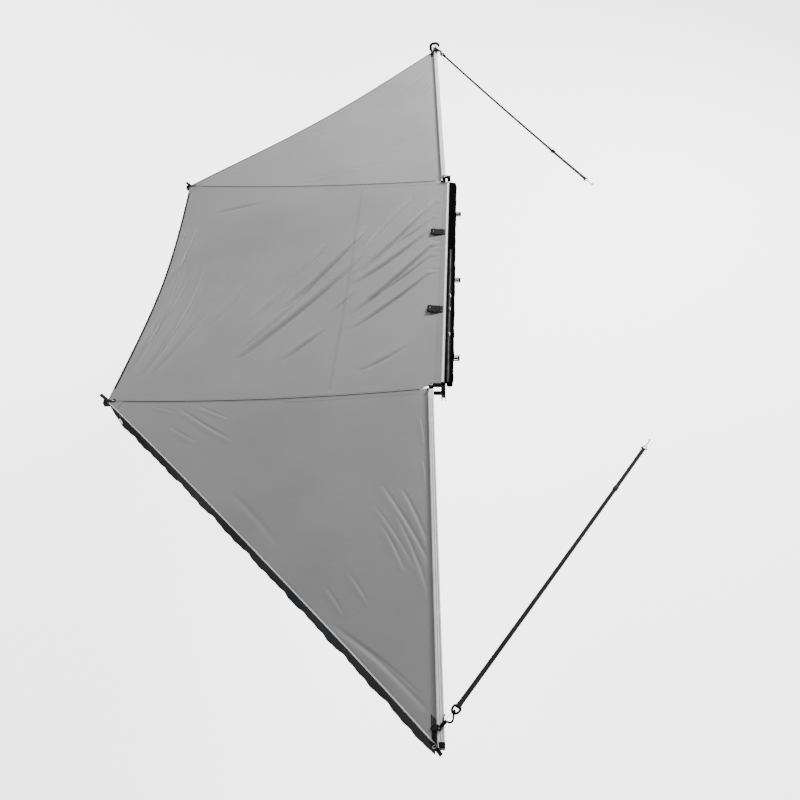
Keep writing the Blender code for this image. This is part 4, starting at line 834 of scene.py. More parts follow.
def trim_wing(wing):
    """A wing's felled seam, rail welt and tape, hem binding, patches, thread and, at the rear, hem piping."""
    name = wing.outer.name
    body, fold = f"{wing.mid.name}_arm", wing_fold(wing)
    front = wing.end > 0
    reach = wing.mid.length - CAP_LENGTH - WING_START
    along = np.linspace(0.004, 0.999, 200)[:, None]
    width = wing.width(along)
    end_width = float(width[-1, 0])
    welt = 1 - (RAIL_EDGE + WELT_WIDTH * TAPE_STEPS) / width
    tape = 1 - (RAIL_EDGE + WELT_WIDTH + RAIL_TAPE_WIDTH * TAPE_STEPS) / width
    back = 1.0006 - BINDING_WIDTH / reach * TAPE_STEPS.T
    across = np.linspace(0.003, 0.997, 240)
    patch = np.linspace(0.02, 0.435, 60)[:, None]
    patch_width = wing.width(patch)
    patch_far = np.minimum(PATCH_INSET + PATCH_WIDTH, 0.35 * patch_width)
    patch_across = (PATCH_INSET + (patch_far - PATCH_INSET) * np.linspace(0, 1, 6)[None, :]) / patch_width
    tip = corner_patch(wing.at, (1.0, 0.0), PATCH_REACH, (reach, end_width))
    corner = np.linspace(1 - 0.062 / reach, 1.0004, 16)[:, None]
    corner_side = 1 - np.linspace(0.0100, 0.0450, 6)[None, :] / end_width
    tab_centre = (tab_station(wing.outer) - WING_START) / wing.reach
    tab = tab_centre + np.linspace(-0.027, 0.027, 12)[:, None] / reach
    tab_side = 1 - np.linspace(0.0090, 0.0490, 8)[None, :] / end_width
    for part, points, finish, thickness in (
        ("keder_welt", wing.at(along[2:], welt[2:], TAPE_LIFT), KEDER_TAPE, TAPE),
        ("rail_tape", wing.at(along[2:], tape[2:], TAPE_LIFT), SEAM_TAPE, TAPE),
        ("seam_tape", wing.at(along, SEAM_TAPE_STEPS / width, TAPE_LIFT), SEAM_TAPE, TAPE),
        ("hem_binding", wing.at(back, across, TAPE_LIFT + 0.0002), VALANCE if front else SEAM_TAPE, BINDING),
        # The hinge patch takes its wing's tone: lighter as painted light at the front, darker as painted
        # shade at the rear.
        ("hinge_patch", wing.at(patch, patch_across, TAPE_LIFT), FRONT_CANOPY_PAINTED_LIGHT if front else REAR_CANOPY_PAINTED_SHADE, TAPE),
        ("mid_corner_patch", tip, SEAM_TAPE, PATCH),
        ("outer_corner_patch", wing.at(corner, corner_side, TAPE_LIFT + 0.0012), VALANCE, PATCH),
        ("tab_patch", wing.at(tab, tab_side, TAPE_LIFT), VALANCE, TAPE),
    ):
        sewn(f"{name}_{part}", points, finish, body, fold, thickness)
    line, wide = along[:, 0], width[:, 0]
    rows = [wing.at(line[4:], offset / wide[4:], STITCH_LIFT) for offset in SEAM_ROWS]
    rows += [wing.at(line[12:], 1 - (RAIL_EDGE + offset) / wide[12:], STITCH_LIFT) for offset in RAIL_ROWS]
    carried(stitches(f"{name}_wing_stitches", rows, THREAD), body, fold)
    rows = [wing.at(1 - offset / reach, across, STITCH_LIFT + 0.0004) for offset in HEM_ROWS]
    carried(stitches(f"{name}_hem_stitches", rows, DARK_THREAD), body, fold)
    if not front:
        hem = wing.at(1.0, across) + wing.outward * 0.0018 + UP * 0.0016
        carried(tube(f"{name}_hem_piping", hem, 0.0034, PALE_PIPING, 10), body, fold)


def build_tip_pocket(mid):
    """A band of black cloth round a mid arm's tip, under the canopy's corner, that pockets the arm's end."""
    far = mid.length + 0.0016
    wide = ARM_HALF_WIDTH + 0.0022
    plan = rounded([(far - 0.105, -wide, 0), (far, -wide, 0), (far, wide, 0), (far - 0.105, wide, 0)], 0.006)
    plan = resampled(plan, 0.004)
    points = np.stack([mid.at(plan[:, 0], plan[:, 1], up) for up in np.linspace(0.0015, 0.0345, 6)])
    carried(sheet(f"{mid.name}_tip_pocket", points, CLOTH, VALANCE), f"{mid.name}_arm")


def trim_middle(end):
    """Half of the middle panel's trim: seam tape, hem binding, beam tape, join seam, patches and thread."""
    label = MIDS[end].name[4:]
    fold = middle_fold(end)
    share = np.linspace(0.055, 0.999, 200)[:, None]
    width = np.linalg.norm(middle_edge(MID_FRONT, 1, share) - middle_edge(MID_REAR, -1, share), axis=-1)

    def inward(offset, size):
        """The across value at a distance in from this half's own edge."""
        return 1 - offset / size if end > 0 else offset / size

    half, join_half = half_span(end, 0.003, 110), half_span(end, 0.03, 110)
    back = 1.0006 - BINDING_WIDTH / MIDDLE_REACH * TAPE_STEPS.T
    beam = np.linspace(0.0110, 0.0190, 4)[:, None]
    join = JOIN_SHARE + JOIN_WIDTH / MIDDLE_REACH * (TAPE_STEPS.T - 0.5)
    patch = np.linspace(0.07, 0.465, 60)[:, None]
    patch_across = inward(PATCH_INSET + PATCH_WIDTH * np.linspace(0, 1, 6)[None, :], MIDDLE_WIDTH)
    tip = corner_patch(middle_at, (1.0, 1.0 if end > 0 else 0.0), PATCH_REACH, (MIDDLE_REACH, MIDDLE_WIDTH))
    for part, points, finish, thickness in (
        ("seam_tape", middle_at(share, inward(SEAM_TAPE_STEPS, width), TAPE_LIFT), SEAM_TAPE, TAPE),
        ("hem_binding", middle_at(back, half, TAPE_LIFT + 0.0002), VALANCE, BINDING),
        ("beam_tape", middle_at(beam, half, TAPE_LIFT), SEAM_TAPE, TAPE),
        ("join_tape", middle_at(join, join_half, TAPE_LIFT), SEAM_TAPE, TAPE),
        # The hinge patch takes the middle panel's darker tone, painted shade.
        ("hinge_patch", middle_at(patch, patch_across, TAPE_LIFT), MIDDLE_CANOPY_PAINTED_SHADE, TAPE),
        ("corner_patch", tip, SEAM_TAPE, PATCH),
    ):
        sewn(f"middle_{part}_{label}", points, finish, "beam", fold, thickness)
    rows = [middle_at(share[:, 0], inward(offset, width[:, 0]), STITCH_LIFT) for offset in SEAM_ROWS]
    rows += [middle_at(value, half, STITCH_LIFT) for value in (0.0120, 0.0180)]
    rows += [middle_at(JOIN_SHARE + offset / MIDDLE_REACH, join_half, STITCH_LIFT) for offset in JOIN_ROWS]
    carried(stitches(f"middle_stitches_{label}", rows, THREAD), "beam", fold)
    rows = [middle_at(1 - offset / MIDDLE_REACH, half, STITCH_LIFT + 0.0004) for offset in HEM_ROWS]
    carried(stitches(f"middle_hem_stitches_{label}", rows, DARK_THREAD), "beam", fold)


def ring_rings(centre, across, lift, radius, rod, flatten=1.0):
    """A circle's points carried round an ellipse in the plane of two directions, back to the first."""
    turn = full_turn(28)[:, None]
    centre, across, lift = (np.asarray(v, float) for v in (centre, across, lift))
    outward = np.cos(turn) * across + np.sin(turn) * flatten * lift
    axis = np.cross(across, lift)
    section = round_section(rod, 10)
    away = unit(outward)[:, None]
    points = centre + (outward * radius)[:, None] + away * section[None, :, :1] + axis * section[None, :, 1:]
    return np.concatenate([points, points[:1]])


def ring(name, centre, across, lift, radius, rod, finish, flatten=1.0):
    """A round or oval ring of wire."""
    piece = surface(name, ring_rings(centre, across, lift, radius, rod, flatten), finish, around=True)
    merged(piece)
    return piece


def merged(piece):
    """Joins the doubled points of a closed ring and turns its faces outwards."""
    shape = bmesh.new()
    shape.from_mesh(piece.data)
    bmesh.ops.remove_doubles(shape, verts=shape.verts, dist=1e-6)
    bmesh.ops.recalc_face_normals(shape, faces=shape.faces)
    shape.to_mesh(piece.data)
    shape.free()


def pipe_seams():
    """The black piping in each mid arm's seam, and the tab and eyelets where three cloths meet at its tip."""
    for mid in MIDS.values():
        body, fold = f"{mid.name}_arm", seam_fold(mid)
        line = seam_line(mid, np.linspace(0.0, 0.995, 160)) + UP * 0.0012
        carried(tube(f"{mid.name}_seam_piping", line, 0.0020, VALANCE, 8), body, fold)
        for i, (back, radius, rod) in enumerate(((0.013, 0.0075, 0.0026), (0.042, 0.0110, 0.0034)), 1):
            place = mid.at(mid.length - CAP_LENGTH - back, 0.0, REST_Z - mid.level + 0.0034)
            name = f"{mid.name}_eyelet_flange_{i}"
            carried(ring(name, place, mid.along, mid.left, radius, rod, BLACK_ZINC), body, fold)
            head = domed_head(place, UP, radius - 0.8 * rod, 0.0028)
            carried(joined(f"{mid.name}_eyelet_stud_{i}", [head], ZINC), body, fold)
        build_tip_loop(mid, body, fold)
        build_tip_pocket(mid)


TIP_LOOPS = {"mid_front": (-0.048, 0.052), "mid_rear": (-0.068, 0.057)}


def build_tip_loop(mid, body, fold):
    """A loop of webbing sewn to the corner over the mid arm's cap, pointing outwards and forwards."""
    out = np.array([*TIP_LOOPS[mid.name], 0.0])
    root = mid.at(mid.length - CAP_LENGTH - 0.004, 0.0, REST_Z - mid.level)
    along, far = unit(out), float(np.linalg.norm(out))
    steps = np.array([
        (-0.022, 0.0050), (0.004, 0.0058), (0.4 * far, 0.0085), (0.8 * far, 0.0060), (far, 0.0030),
        (far + 0.001, 0.0), (0.8 * far, 0.0012), (0.4 * far, 0.0040), (0.004, 0.0030), (-0.020, 0.0026),
    ])
    line = smooth_line(spread(root, steps.T, (along, UP)))
    carried(band(f"{mid.name}_tip_loop", line, 0.022, 0.0018, WEBBING, np.cross(UP, along)), body, fold)


def build_trim():
    for wing in (FRONT_WING, REAR_WING):
        trim_wing(wing)
    for end in (1, -1):
        trim_middle(end)
    pipe_seams()


# The guy straps

WEBBING_WIDTH = 0.025
STRAP_INSETS = {"front": 0.062, "rear": 0.088}
WEBBING_THICKNESS = 0.0018
HOOK_ROD = 0.0035
HOOK_EYE = 0.030
HOOK_BEND = 0.094
HOOK_CURL = 0.009
RING_ROD = 0.006
RING_LENGTH = 0.042
GAP = 0.0003
STRAP_SAG = 0.012
BUCKLE_SHARE = 0.80
EYE_OFFSET = 0.012
EYE_RADIUS = 0.0095
RING_AHEAD = 0.097
RING_ASIDE = 0.018


class GuyStrap:
    """One guy strap's own directions and length, from the snap hook's eye over its arm to its far end.

    The photograph shows the near end a little nearer the arm's tip than the part has it, so the eye is there.
    """

    def __init__(self, arm, inset, far_end):
        self.arm, self.hand, self.body = arm, arm.fabric_side, f"{arm.name}_arm"
        self.eye = arm.at(arm.length - inset, self.hand * EYE_OFFSET, ARM_HEIGHT + 0.0065)
        far = np.array(far_end, float)
        self.level = unit((far - self.eye) * (1, 1, 0))
        self.origin = self.near(RING_AHEAD, RING_ASIDE, 0.0)
        run = far - self.origin
        self.along = unit(run)
        self.side = unit(np.array([-run[1], run[0], 0.0]))
        self.above = np.cross(self.along, self.side)
        self.length = float(np.linalg.norm(run)) - HOOK_BEND - HOOK_CURL - RING_LENGTH

    def near(self, ahead, aside, up):
        """Points from distances ahead of the eye, aside of it away from the vehicle, and above it."""
        away = self.hand * np.array([-self.level[1], self.level[0], 0.0])
        return spread(self.eye, (ahead, aside, up), (self.level, away, UP))

    def place(self, along, side, above):
        """Points from distances along, across and above the strap's line, from the ring's apex."""
        return spread(self.origin, (along, side, above), (self.along, self.side, self.above))

    def sag(self, share):
        return STRAP_SAG * 4 * share * (1 - share)

    def fold(self):
        """The strap is taken off its far hook and hanked at the arm's tip."""
        mid = MID_FRONT if self.arm is FRONT else MID_REAR
        return (f"{mid.name}_swing", tuple(self.along), tuple(self.place(RING_LENGTH, 0, 0)), STRAP_KEPT)


def strap_line(strap):
    """The webbing's line: tail, turn round the ring's bar, run to the far eye, turn, back into the buckle."""
    layer = WEBBING_THICKNESS / 2 + GAP
    near, far = RING_LENGTH, RING_LENGTH + strap.length
    near_radius, far_radius = RING_ROD + layer, HOOK_ROD + layer
    turn = np.radians(np.linspace(-90, -270, 13))
    back = np.radians(np.linspace(90, -90, 13))
    share = np.linspace(0.02, 0.97, 60)
    tail = np.linspace(0.97, BUCKLE_SHARE - 0.035, 20)
    runs = (
        (np.linspace(near + 0.070, near + 4 * near_radius, 6), np.full(6, -layer)),
        (near + near_radius * np.cos(turn), near_radius * np.sin(turn)),
        (near + share * strap.length, layer - strap.sag(share)),
        (far + far_radius * np.cos(back), far_radius * np.sin(back)),
        (near + tail * strap.length, -layer - strap.sag(tail)),
    )
    along, above = np.concatenate(runs, axis=1)
    return strap.place(along, 0, above)


def rounded(corners, radius, closed=False, steps=6):
    """A path through corners, each rounded by the curve (1-t)^2 a + 2t(1-t) c + t^2 b."""
    points = [np.asarray(corner, float) for corner in corners]
    count = len(points)
    path = []
    for i, corner in enumerate(points):
        if not closed and i in (0, count - 1):
            path.append(corner)
            continue
        before, after = points[i - 1] - corner, points[(i + 1) % count] - corner
        cut = min(radius, np.linalg.norm(before) * 0.49, np.linalg.norm(after) * 0.49)
        first, last = corner + unit(before) * cut, corner + unit(after) * cut
        t = np.linspace(0, 1, steps)[:, None]
        path.extend(first * (1 - t) ** 2 + corner * 2 * t * (1 - t) + last * t * t)
    return np.array(path)


def build_far_hook(strap, name):
    """The hook at the strap's far end: a wire eye for the webbing, a shank and an open hook, black plated."""
    half = WEBBING_WIDTH / 2 + 3 * HOOK_ROD
    corners = [(HOOK_EYE, -1.7 * HOOK_ROD, 0), (0.0, -half, 0), (0.0, half, 0), (HOOK_EYE, HOOK_ROD, 0),
               (HOOK_EYE + 2 * HOOK_ROD, 0, 0), (HOOK_BEND, 0, 0)]
    turn = np.radians(np.linspace(-90, 110, 16))[1:]
    bend = np.stack([HOOK_BEND + HOOK_CURL * np.cos(turn), 0 * turn, HOOK_CURL + HOOK_CURL * np.sin(turn)], 1)
    path = np.concatenate([rounded(corners, 2 * HOOK_ROD), bend]) + (RING_LENGTH + strap.length, 0, 0)
    piece = tube(name, strap.place(*path.T), HOOK_ROD, BLACK_ZINC, 14)
    return carried(piece, strap.body, strap.fold(), f"{strap.arm.name}_strap_far_hook")


def build_buckle(strap, name):
    """The cam buckle: two side plates joined by bars, with a ridged thumb lever over the webbing."""
    centre = RING_LENGTH + BUCKLE_SHARE * strap.length
    low = -strap.sag(BUCKLE_SHARE)
    half = WEBBING_WIDTH / 2
    parts = []
    corners = [(-0.020, -0.006, 0), (0.020, -0.006, 0), (0.020, 0.005, 0), (-0.012, 0.0095, 0)]
    outline = rounded(corners, 0.004, closed=True)
    for hand in (-1, 1):
        rings = np.stack([strap.place(centre + outline[:, 0], hand * (half + 0.0008 + w), low + outline[:, 1])
                          for w in (0.0, 0.0018)])
        parts.append((rings[::hand], True))
    for x, z, radius in ((-0.015, 0.0055, 0.0018), (0.015, -0.0045, 0.0016),
                         (0.015, 0.0042, 0.0012), (-0.015, -0.0045, 0.0016)):
        line = strap.place(centre + x, np.linspace(-half - 0.0018, half + 0.0018, 3), low + z)
        parts.append((swept(line, round_section(radius, 10), strap.along), True))
    lever = np.array([(-0.018, 0.0062), (-0.006, 0.0088), (0.010, 0.0098), (0.024, 0.0125)])
    line = strap.place(centre + lever[:, 0], 0, low + lever[:, 1])
    parts.append((swept(line, flat_section(WEBBING_WIDTH - 0.002, 0.0024), strap.side), True))
    buckle = joined(name, parts, POWDER_BLACK)
    return carried(buckle, strap.body, strap.fold(), f"{strap.arm.name}_strap_buckle")


def joined(name, parts, finish):
    """One piece from several rings of points, each with or without caps."""
    places, faces, start = [], [], 0
    for points, capped in parts:
        faces += grid_faces(*points.shape[:2], start, True, capped)
        places.append(points.reshape(-1, 3))
        start += len(places[-1])
    piece = finished(name, np.concatenate(places), faces, finish)
    merged(piece)
    piece.data.set_sharp_from_angle(angle=math.radians(40))
    return piece


# The snap hook's wire: ahead of the eye, aside of it and above it.
SNAP_WIRE = (
    (0.040, 0.0090, 0.0), (0.047, 0.0160, -0.0005), (0.050, 0.0270, -0.0015), (0.058, 0.0345, -0.0030),
    (0.072, 0.0330, -0.0065), (0.085, 0.0255, -0.0095), (0.096, 0.0190, -0.0112), (0.106, 0.0180, -0.0095),
    (0.1115, 0.0178, 0.0010), (0.106, 0.0176, 0.0105), (0.097, 0.0176, 0.0115), (0.0885, 0.0182, 0.0098),
)


def build_snap(strap, name):
    """The snap hook: a swivel eye, a cast body with a thumb lever, and a wire that curls round the ring."""
    parts = [(ring_rings(strap.eye, strap.level, np.cross(UP, strap.level), EYE_RADIUS, 0.0036), False)]
    turn = full_turn(20)
    profile = ((0.0105, 0.0030), (0.0120, 0.0052), (0.0180, 0.0062), (0.0200, 0.0084), (0.0300, 0.0088),
               (0.0430, 0.0080), (0.0470, 0.0070), (0.0500, 0.0048))
    body = [strap.near(ahead, 0.22 * ahead + 1.1 * radius * np.cos(turn), radius * np.sin(turn))
            for ahead, radius in profile]
    parts.append((np.stack(body), True))
    lever = ((0.036, 0.002, 0.004), (0.046, -0.003, 0.006), (0.058, -0.009, 0.006), (0.070, -0.011, 0.005))
    gate = ((0.050, 0.006, 0.0035), (0.066, 0.005, 0.002), (0.084, 0.011, 0.002), (0.092, 0.015, 0.006))
    for points, section in ((lever, flat_section(0.0060, 0.0060)), (SNAP_WIRE, round_section(0.0050, 12)),
                            (gate, round_section(0.0016, 8))):
        line = smooth_line(strap.near(*np.array(points).T))
        parts.append((swept(line, section, tilted_sides(line) if points is SNAP_WIRE else UP), True))
    carried(joined(name, parts, BLACK_ZINC), strap.body, None, f"{strap.arm.name}_strap_hook")


def tilted_sides(line):
    """A side direction for each point of a bent wire, square to it and turning as little as it can."""
    along = unit(np.gradient(line, axis=0))
    sides = [unit(np.cross(along[0], UP))]
    for way in along[1:]:
        sides.append(unit(sides[-1] - (sides[-1] @ way) * way))
    return np.array(sides)


def build_strap_ring(strap, name):
    """The ring between hook and webbing: round at the hook, straight where the webbing turns."""
    half = [(0.0, -0.007), (0.013, -0.0165), (0.030, -0.0185), (RING_LENGTH, -0.0165)]
    corners = [(x, y, 0) for x, y in half] + [(x, -y, 0) for x, y in half[::-1]]
    line = strap.place(*rounded(corners, 0.006, closed=True).T)
    side = unit(np.cross(unit(np.roll(line, -1, axis=0) - np.roll(line, 1, axis=0)), strap.above))
    section = round_section(RING_ROD, 12)
    rings = line[:, None] + section[None, :, :1] * side[:, None] + section[None, :, 1:] * strap.above
    piece = surface(name, np.concatenate([rings, rings[:1]]), BLACK_ZINC, around=True)
    merged(piece)
    carried(piece, strap.body, None, f"{strap.arm.name}_strap_ring")


def build_snap_keeper(strap, name):
    """A short doubled webbing over the snap hook, from the corner tab to the ring, to keep them together."""
    stations = np.array([(-0.030, -0.006, 0.0125), (0.0, 0.0, 0.0160), (0.040, 0.010, 0.0165),
                         (0.080, 0.018, 0.0165), (RING_AHEAD + 0.004, RING_ASIDE, 0.0150)])
    line = smooth_line(strap.near(*stations.T))
    across = np.cross(UP, np.gradient(line, axis=0))
    carried(band(name, line, 0.026, 0.0036, WEBBING, across), strap.body)


def build_corner_tab(strap, name):
    """The corner's webbing tab: up from the canopy, over the snap hook's eye, down through it and back."""
    arm = strap.arm
    root = arm.at(tab_station(arm), strap.hand * 0.0455, 0.0)
    inward = unit((strap.eye - root) * (1, 1, 0))
    base = arm.level + ARM_KEDER_Z + 0.0029
    top = strap.eye[2]
    turn = np.radians(np.linspace(180, -90, 14))
    flat = np.concatenate([
        [(-0.042, base + 0.0032), (-0.028, base + 0.0036), (-0.019, base + 0.009), (-0.015, top - 0.010)],
        np.stack([-EYE_RADIUS + 0.0050 * np.cos(turn), top + 0.0050 * np.sin(turn)], 1),
        [(-0.0122, top - 0.011), (-0.0158, base + 0.006), (-0.025, base + 0.0006), (-0.040, base + 0.0002)],
    ])
    line = smooth_line(spread(strap.eye * (1, 1, 0), flat.T, (inward, UP)))
    piece = band(name, line, WEBBING_WIDTH, 0.0020, WEBBING, np.cross(UP, inward))
    carried(piece, strap.body, None, f"{arm.name}_corner_tab")


def tab_station(arm):
    """How far along an outer arm the corner's tab is sewn."""
    return arm.length - STRAP_INSETS[arm.name] - 0.018


def smooth_line(line):
    """Corner cutting, three rounds: each puts points a quarter and three quarters along every step."""
    for _ in range(3):
        cut = np.stack([0.75 * line[:-1] + 0.25 * line[1:], 0.25 * line[:-1] + 0.75 * line[1:]], axis=1)
        line = np.concatenate([line[:1], cut.reshape(-1, 3), line[-1:]])
    return line


def build_straps():
    for arm, far_end in ((FRONT, (1.122, 1.160, 0.004)), (REAR, (1.332, -1.128, -0.468))):
        strap = GuyStrap(arm, STRAP_INSETS[arm.name], far_end)
        name = arm.name
        webbing = band(f"{name}_guy_webbing", strap_line(strap), WEBBING_WIDTH, WEBBING_THICKNESS, WEBBING,
                       strap.side)
        carried(webbing, strap.body, strap.fold(), f"{name}_strap_webbing", "webbing")
        fittings = [build_far_hook(strap, f"{name}_guy_far_hook"), build_buckle(strap, f"{name}_guy_buckle")]
        build_corner_tab(strap, f"{name}_webbing_tab")
        if arm is FRONT:
            build_snap_keeper(strap, f"{name}_snap_keeper")
        build_snap(strap, f"{name}_snap_hook")
        build_strap_ring(strap, f"{name}_guy_ring")


# The travel cover and its zip

COVER_X = -0.0172
COVER_Z = 0.0738
COVER_HALF = 1.113
COVER_WIDE = 0.0250
COVER_HIGH = 0.0168
COVER_TURNS = 2.3
ROLL_START = math.radians(118)
FLAP_SHARE = 0.16
COVER_CLOTH = 0.0014
TOP_GROOVE_X = -0.0513
ZIP_X = -0.029
ZIP_START = 0.24
ZIP_END = -1.09


def cover_at(along, around, lift=0.0):
    """The cover: a flap from the rail's top groove, over its back edge and into a flattened roll.

    Along runs from -1 at the rear to 1 at the front, around from 0 at the groove to 1 at the roll's heart.
    The roll is the spiral x = a cos t, z = b sin t whose half-axes shrink by 3 mm a turn. Folds are waves of
    100 to 310 mm that run round it at a slant, and the roll slackens and thins towards its ends.
    """
    along, around = np.broadcast_arrays(np.asarray(along, float), np.asarray(around, float))
    place = along * COVER_HALF
    turn = np.clip((around - FLAP_SHARE) / (1 - FLAP_SHARE), 0, 1) * COVER_TURNS
    end = smooth((1 - np.abs(along)) / 0.05)
    wave = 2 * math.pi * place
    folds = (0.0011 * np.sin(wave / 0.21 + 5 * turn) + 0.0008 * np.sin(wave / 0.10 - 7 * turn)
             + 0.0008 * np.sin(wave / 0.31 + 2 * np.sin(3.1 * place)))
    sharp = 0.0009 * np.maximum(0, np.sin(wave / 0.17 + 9 * turn + 1.3)) ** 4
    shrink = 0.0030 * turn
    slack = (folds - sharp) * smooth(around / 0.14) + lift - 0.0035 * (1 - end)
    wide, high = COVER_WIDE - shrink + slack, COVER_HIGH - shrink * 0.85 + slack

    def point(x, z):
        return np.stack(np.broadcast_arrays(x, place, z), axis=-1)

    angle = ROLL_START - 2 * math.pi * turn
    roll = point(COVER_X + wide * np.cos(angle), COVER_Z + high * np.sin(angle))
    first = point(COVER_X + wide * math.cos(ROLL_START), COVER_Z + high * math.sin(ROLL_START))
    groove = point(TOP_GROOVE_X, BEAM_TOP + 0.0012 + COVER_CLOTH)
    knee = point(-0.0445, BEAM_TOP + 0.0020 + COVER_CLOTH + lift)
    s = np.clip(around / FLAP_SHARE, 0, 1)[..., None]
    strip = groove * (1 - s) ** 2 + knee * 2 * s * (1 - s) + first * s * s
    return np.where(around[..., None] < FLAP_SHARE, strip, roll)


def build_cover():
    """The cover's cloth, the piping in the rail's groove and the zip."""
    rows = np.linspace(-1, 1, 420)[:, None]
    around = np.concatenate([np.linspace(0, FLAP_SHARE, 9)[:-1], np.linspace(FLAP_SHARE, 1.0, 84)])
    points = cover_at(rows, around[None, :])
    uv = np.stack(np.broadcast_arrays(rows * COVER_HALF, travelled(points[210])[None, :]), axis=-1)
    cloth = sheet("rolled_cover", points, COVER_CLOTH, COVER, uv)
    carried(cloth, "beam", None, "travel_cover", "cover_cloth")
    piping = cover_at(np.linspace(-0.994, 0.994, 300), 0.0) + UP * 0.0006
    carried(tube("cover_keder_piping", piping, 0.0019, VALANCE, 8), "beam")
    build_zip()


def zip_path(offset, lift):
    """The zip's line on the cover's flap, some way across it, from its front end to its rear end."""
    along = np.linspace(ZIP_START, ZIP_END, 260) / COVER_HALF
    line = cover_at(along, 0.145)
    line[:, 0] = ZIP_X + offset
    flap = cover_at(along[:, None], np.linspace(0.08, 0.26, 24)[None, :])
    for spot, row in zip(line, flap):
        row = row[np.argsort(row[:, 0])]
        spot[2] = np.interp(ZIP_X + offset, row[:, 0], row[:, 2]) + lift
    return line


def build_zip():
    """Two tapes, a row of moulded teeth, a slider with its pull at each bright spot of the photograph."""
    base = COVER_CLOTH / 2
    for name, offset in (("near", -0.0070), ("far", 0.0070)):
        line = zip_path(offset, base + 0.0007)
        carried(band(f"zip_tape_{name}", line, 0.010, 0.0008, VALANCE, (1, 0, 0)), "beam")
    centre = zip_path(0.0, base + 0.0014)
    places = resampled(centre, 0.004)
    places[:, 0] += np.where(np.arange(len(places)) % 2, 0.0008, -0.0008)
    tooth = ((-0.002, -0.0014), (0.002, -0.0014), (0.002, 0.0014), (-0.002, 0.0014))
    corners = np.array([(x, y, z) for z in (-0.0011, 0.0011) for x, y in tooth])
    points = places[:, None] + corners[None]
    block = [(3, 2, 1, 0), (4, 5, 6, 7), (0, 1, 5, 4), (1, 2, 6, 5), (2, 3, 7, 6), (3, 0, 4, 7)]
    faces = repeated(block, 8, len(places))
    carried(finished("zip_teeth", points.reshape(-1, 3), faces, ZIP_TEETH, None, False), "beam")
    slider = (((0, 0, 0), 0.0, (0.0055, 0.0075, 0.0022), 0.0012),
              ((0, 0.002, 0.0026), 0.0, (0.0018, 0.0045, 0.0014), 0.0008),
              ((0.003, -0.016, 0.0012), 0.12, (0.0034, 0.0130, 0.0008), 0.0005))
    for i, place in enumerate((-0.26, -0.40, -0.65), 1):
        spot = centre[np.argmin(np.abs(centre[:, 1] - place))] + (0, 0, 0.0022)
        body = [pad(spot + offset, half, edge, slant) for offset, slant, half, edge in slider]
        carried(joined(f"zip_slider_{i}", body, ZINC), "beam")


def pad(centre, half, edge, slant=0.0):
    """A block with rounded corners: superellipse rings, drawn in near the top and the bottom."""
    across, forward = unit((1, slant, 0)), unit((-slant, 1, 0))
    turn = full_turn(24)
    ring = np.stack([np.cos(turn), np.sin(turn)], axis=1)
    ring = np.sign(ring) * np.abs(ring) ** 0.45
    low = [(-half[2], edge), (-half[2] + 0.3 * edge, 0.3 * edge), (-half[2] + edge, 0.0)]
    levels = low + [(-height, drawn) for height, drawn in low[::-1]]
    rings = [centre + ring[:, :1] * (half[0] - drawn) * across + ring[:, 1:] * (half[1] - drawn) * forward
             + height * UP for height, drawn in levels]
    return np.stack(rings), True


# The roof straps

ROOF_STRAP_PLACES = {"front_roof_strap": 0.463, "rear_roof_strap": -0.406}
ROOF_STRAP_WIDTH = 0.066


def build_roof_strap(node, middle):
    """A strap from the rail's face on to the canopy, with half a squeeze buckle and a tail folded back."""
    strap = ((-0.0753, 0.0892), (-0.090, 0.0894), (-0.110, 0.0897), (-0.135, 0.0893), (-0.158, 0.0915))
    tail = ((-0.1600, 0.0945), (-0.152, 0.0962), (-0.138, 0.0930), (-0.118, 0.0928), (-0.103, 0.0931),
            (-0.098, 0.0940))
    for part, steps, stands_for in (("webbing", strap, (node, "webbing")), ("tail", tail, ())):
        line = smooth_line(np.array([(x, middle, z) for x, z in steps]))
        piece = band(f"{node}_{part}", line, ROOF_STRAP_WIDTH, 0.0024, WEBBING, (0, 1, 0))
        carried(piece, "beam", None, *stands_for)
    bars = [((-0.008, 0, 0), (0.0070, 0.0345, 0.0046), 0.0022)]
    for hand in (-1, 1):
        bars.append(((0.003, hand * 0.0305, 0), (0.0110, 0.0040, 0.0042), 0.0018))
        bars.append(((-0.0135, hand * 0.021, 0), (0.0016, 0.0090, 0.0036), 0.0010))
    bars.append(((0.0095, 0, 0), (0.0024, 0.0300, 0.0028), 0.0012))
    bars.append(((0.0015, 0, -0.0010), (0.0018, 0.0290, 0.0022), 0.0010))
    centre = np.array([-0.1700, middle, 0.0935])
    parts = [pad(centre + offset, half, edge) for offset, half, edge in bars]
    carried(joined(f"{node}_buckle", parts, NYLON), "beam")
    rows = [np.array([(x, middle + y, 0.0906) for y in (-0.021, 0.021)]) for x in (-0.080, -0.084, -0.088)]
    carried(stitches(f"{node}_stitches", rows, THREAD), "beam")


# Small hardware at the tips, the hinges and the feet

def domed_head(place, axis, radius, height):
    """A rivet or screw head: rings that shrink as the cosine while they rise as the sine."""
    axis = unit(axis)
    side = unit(np.cross(axis, (0.31, 0.52, 0.79)))
    turn = full_turn(20)[:, None]
    circle = np.cos(turn) * side + np.sin(turn) * np.cross(axis, side)
    rings = [place + circle * radius, place + circle * radius + axis * height * 0.25]
    for rise in np.radians([20, 40, 60, 78]):
        level = height * (0.25 + 0.75 * math.sin(rise))
        rings.append(place + circle * radius * math.cos(rise) + axis * level)
    return np.stack(rings), True


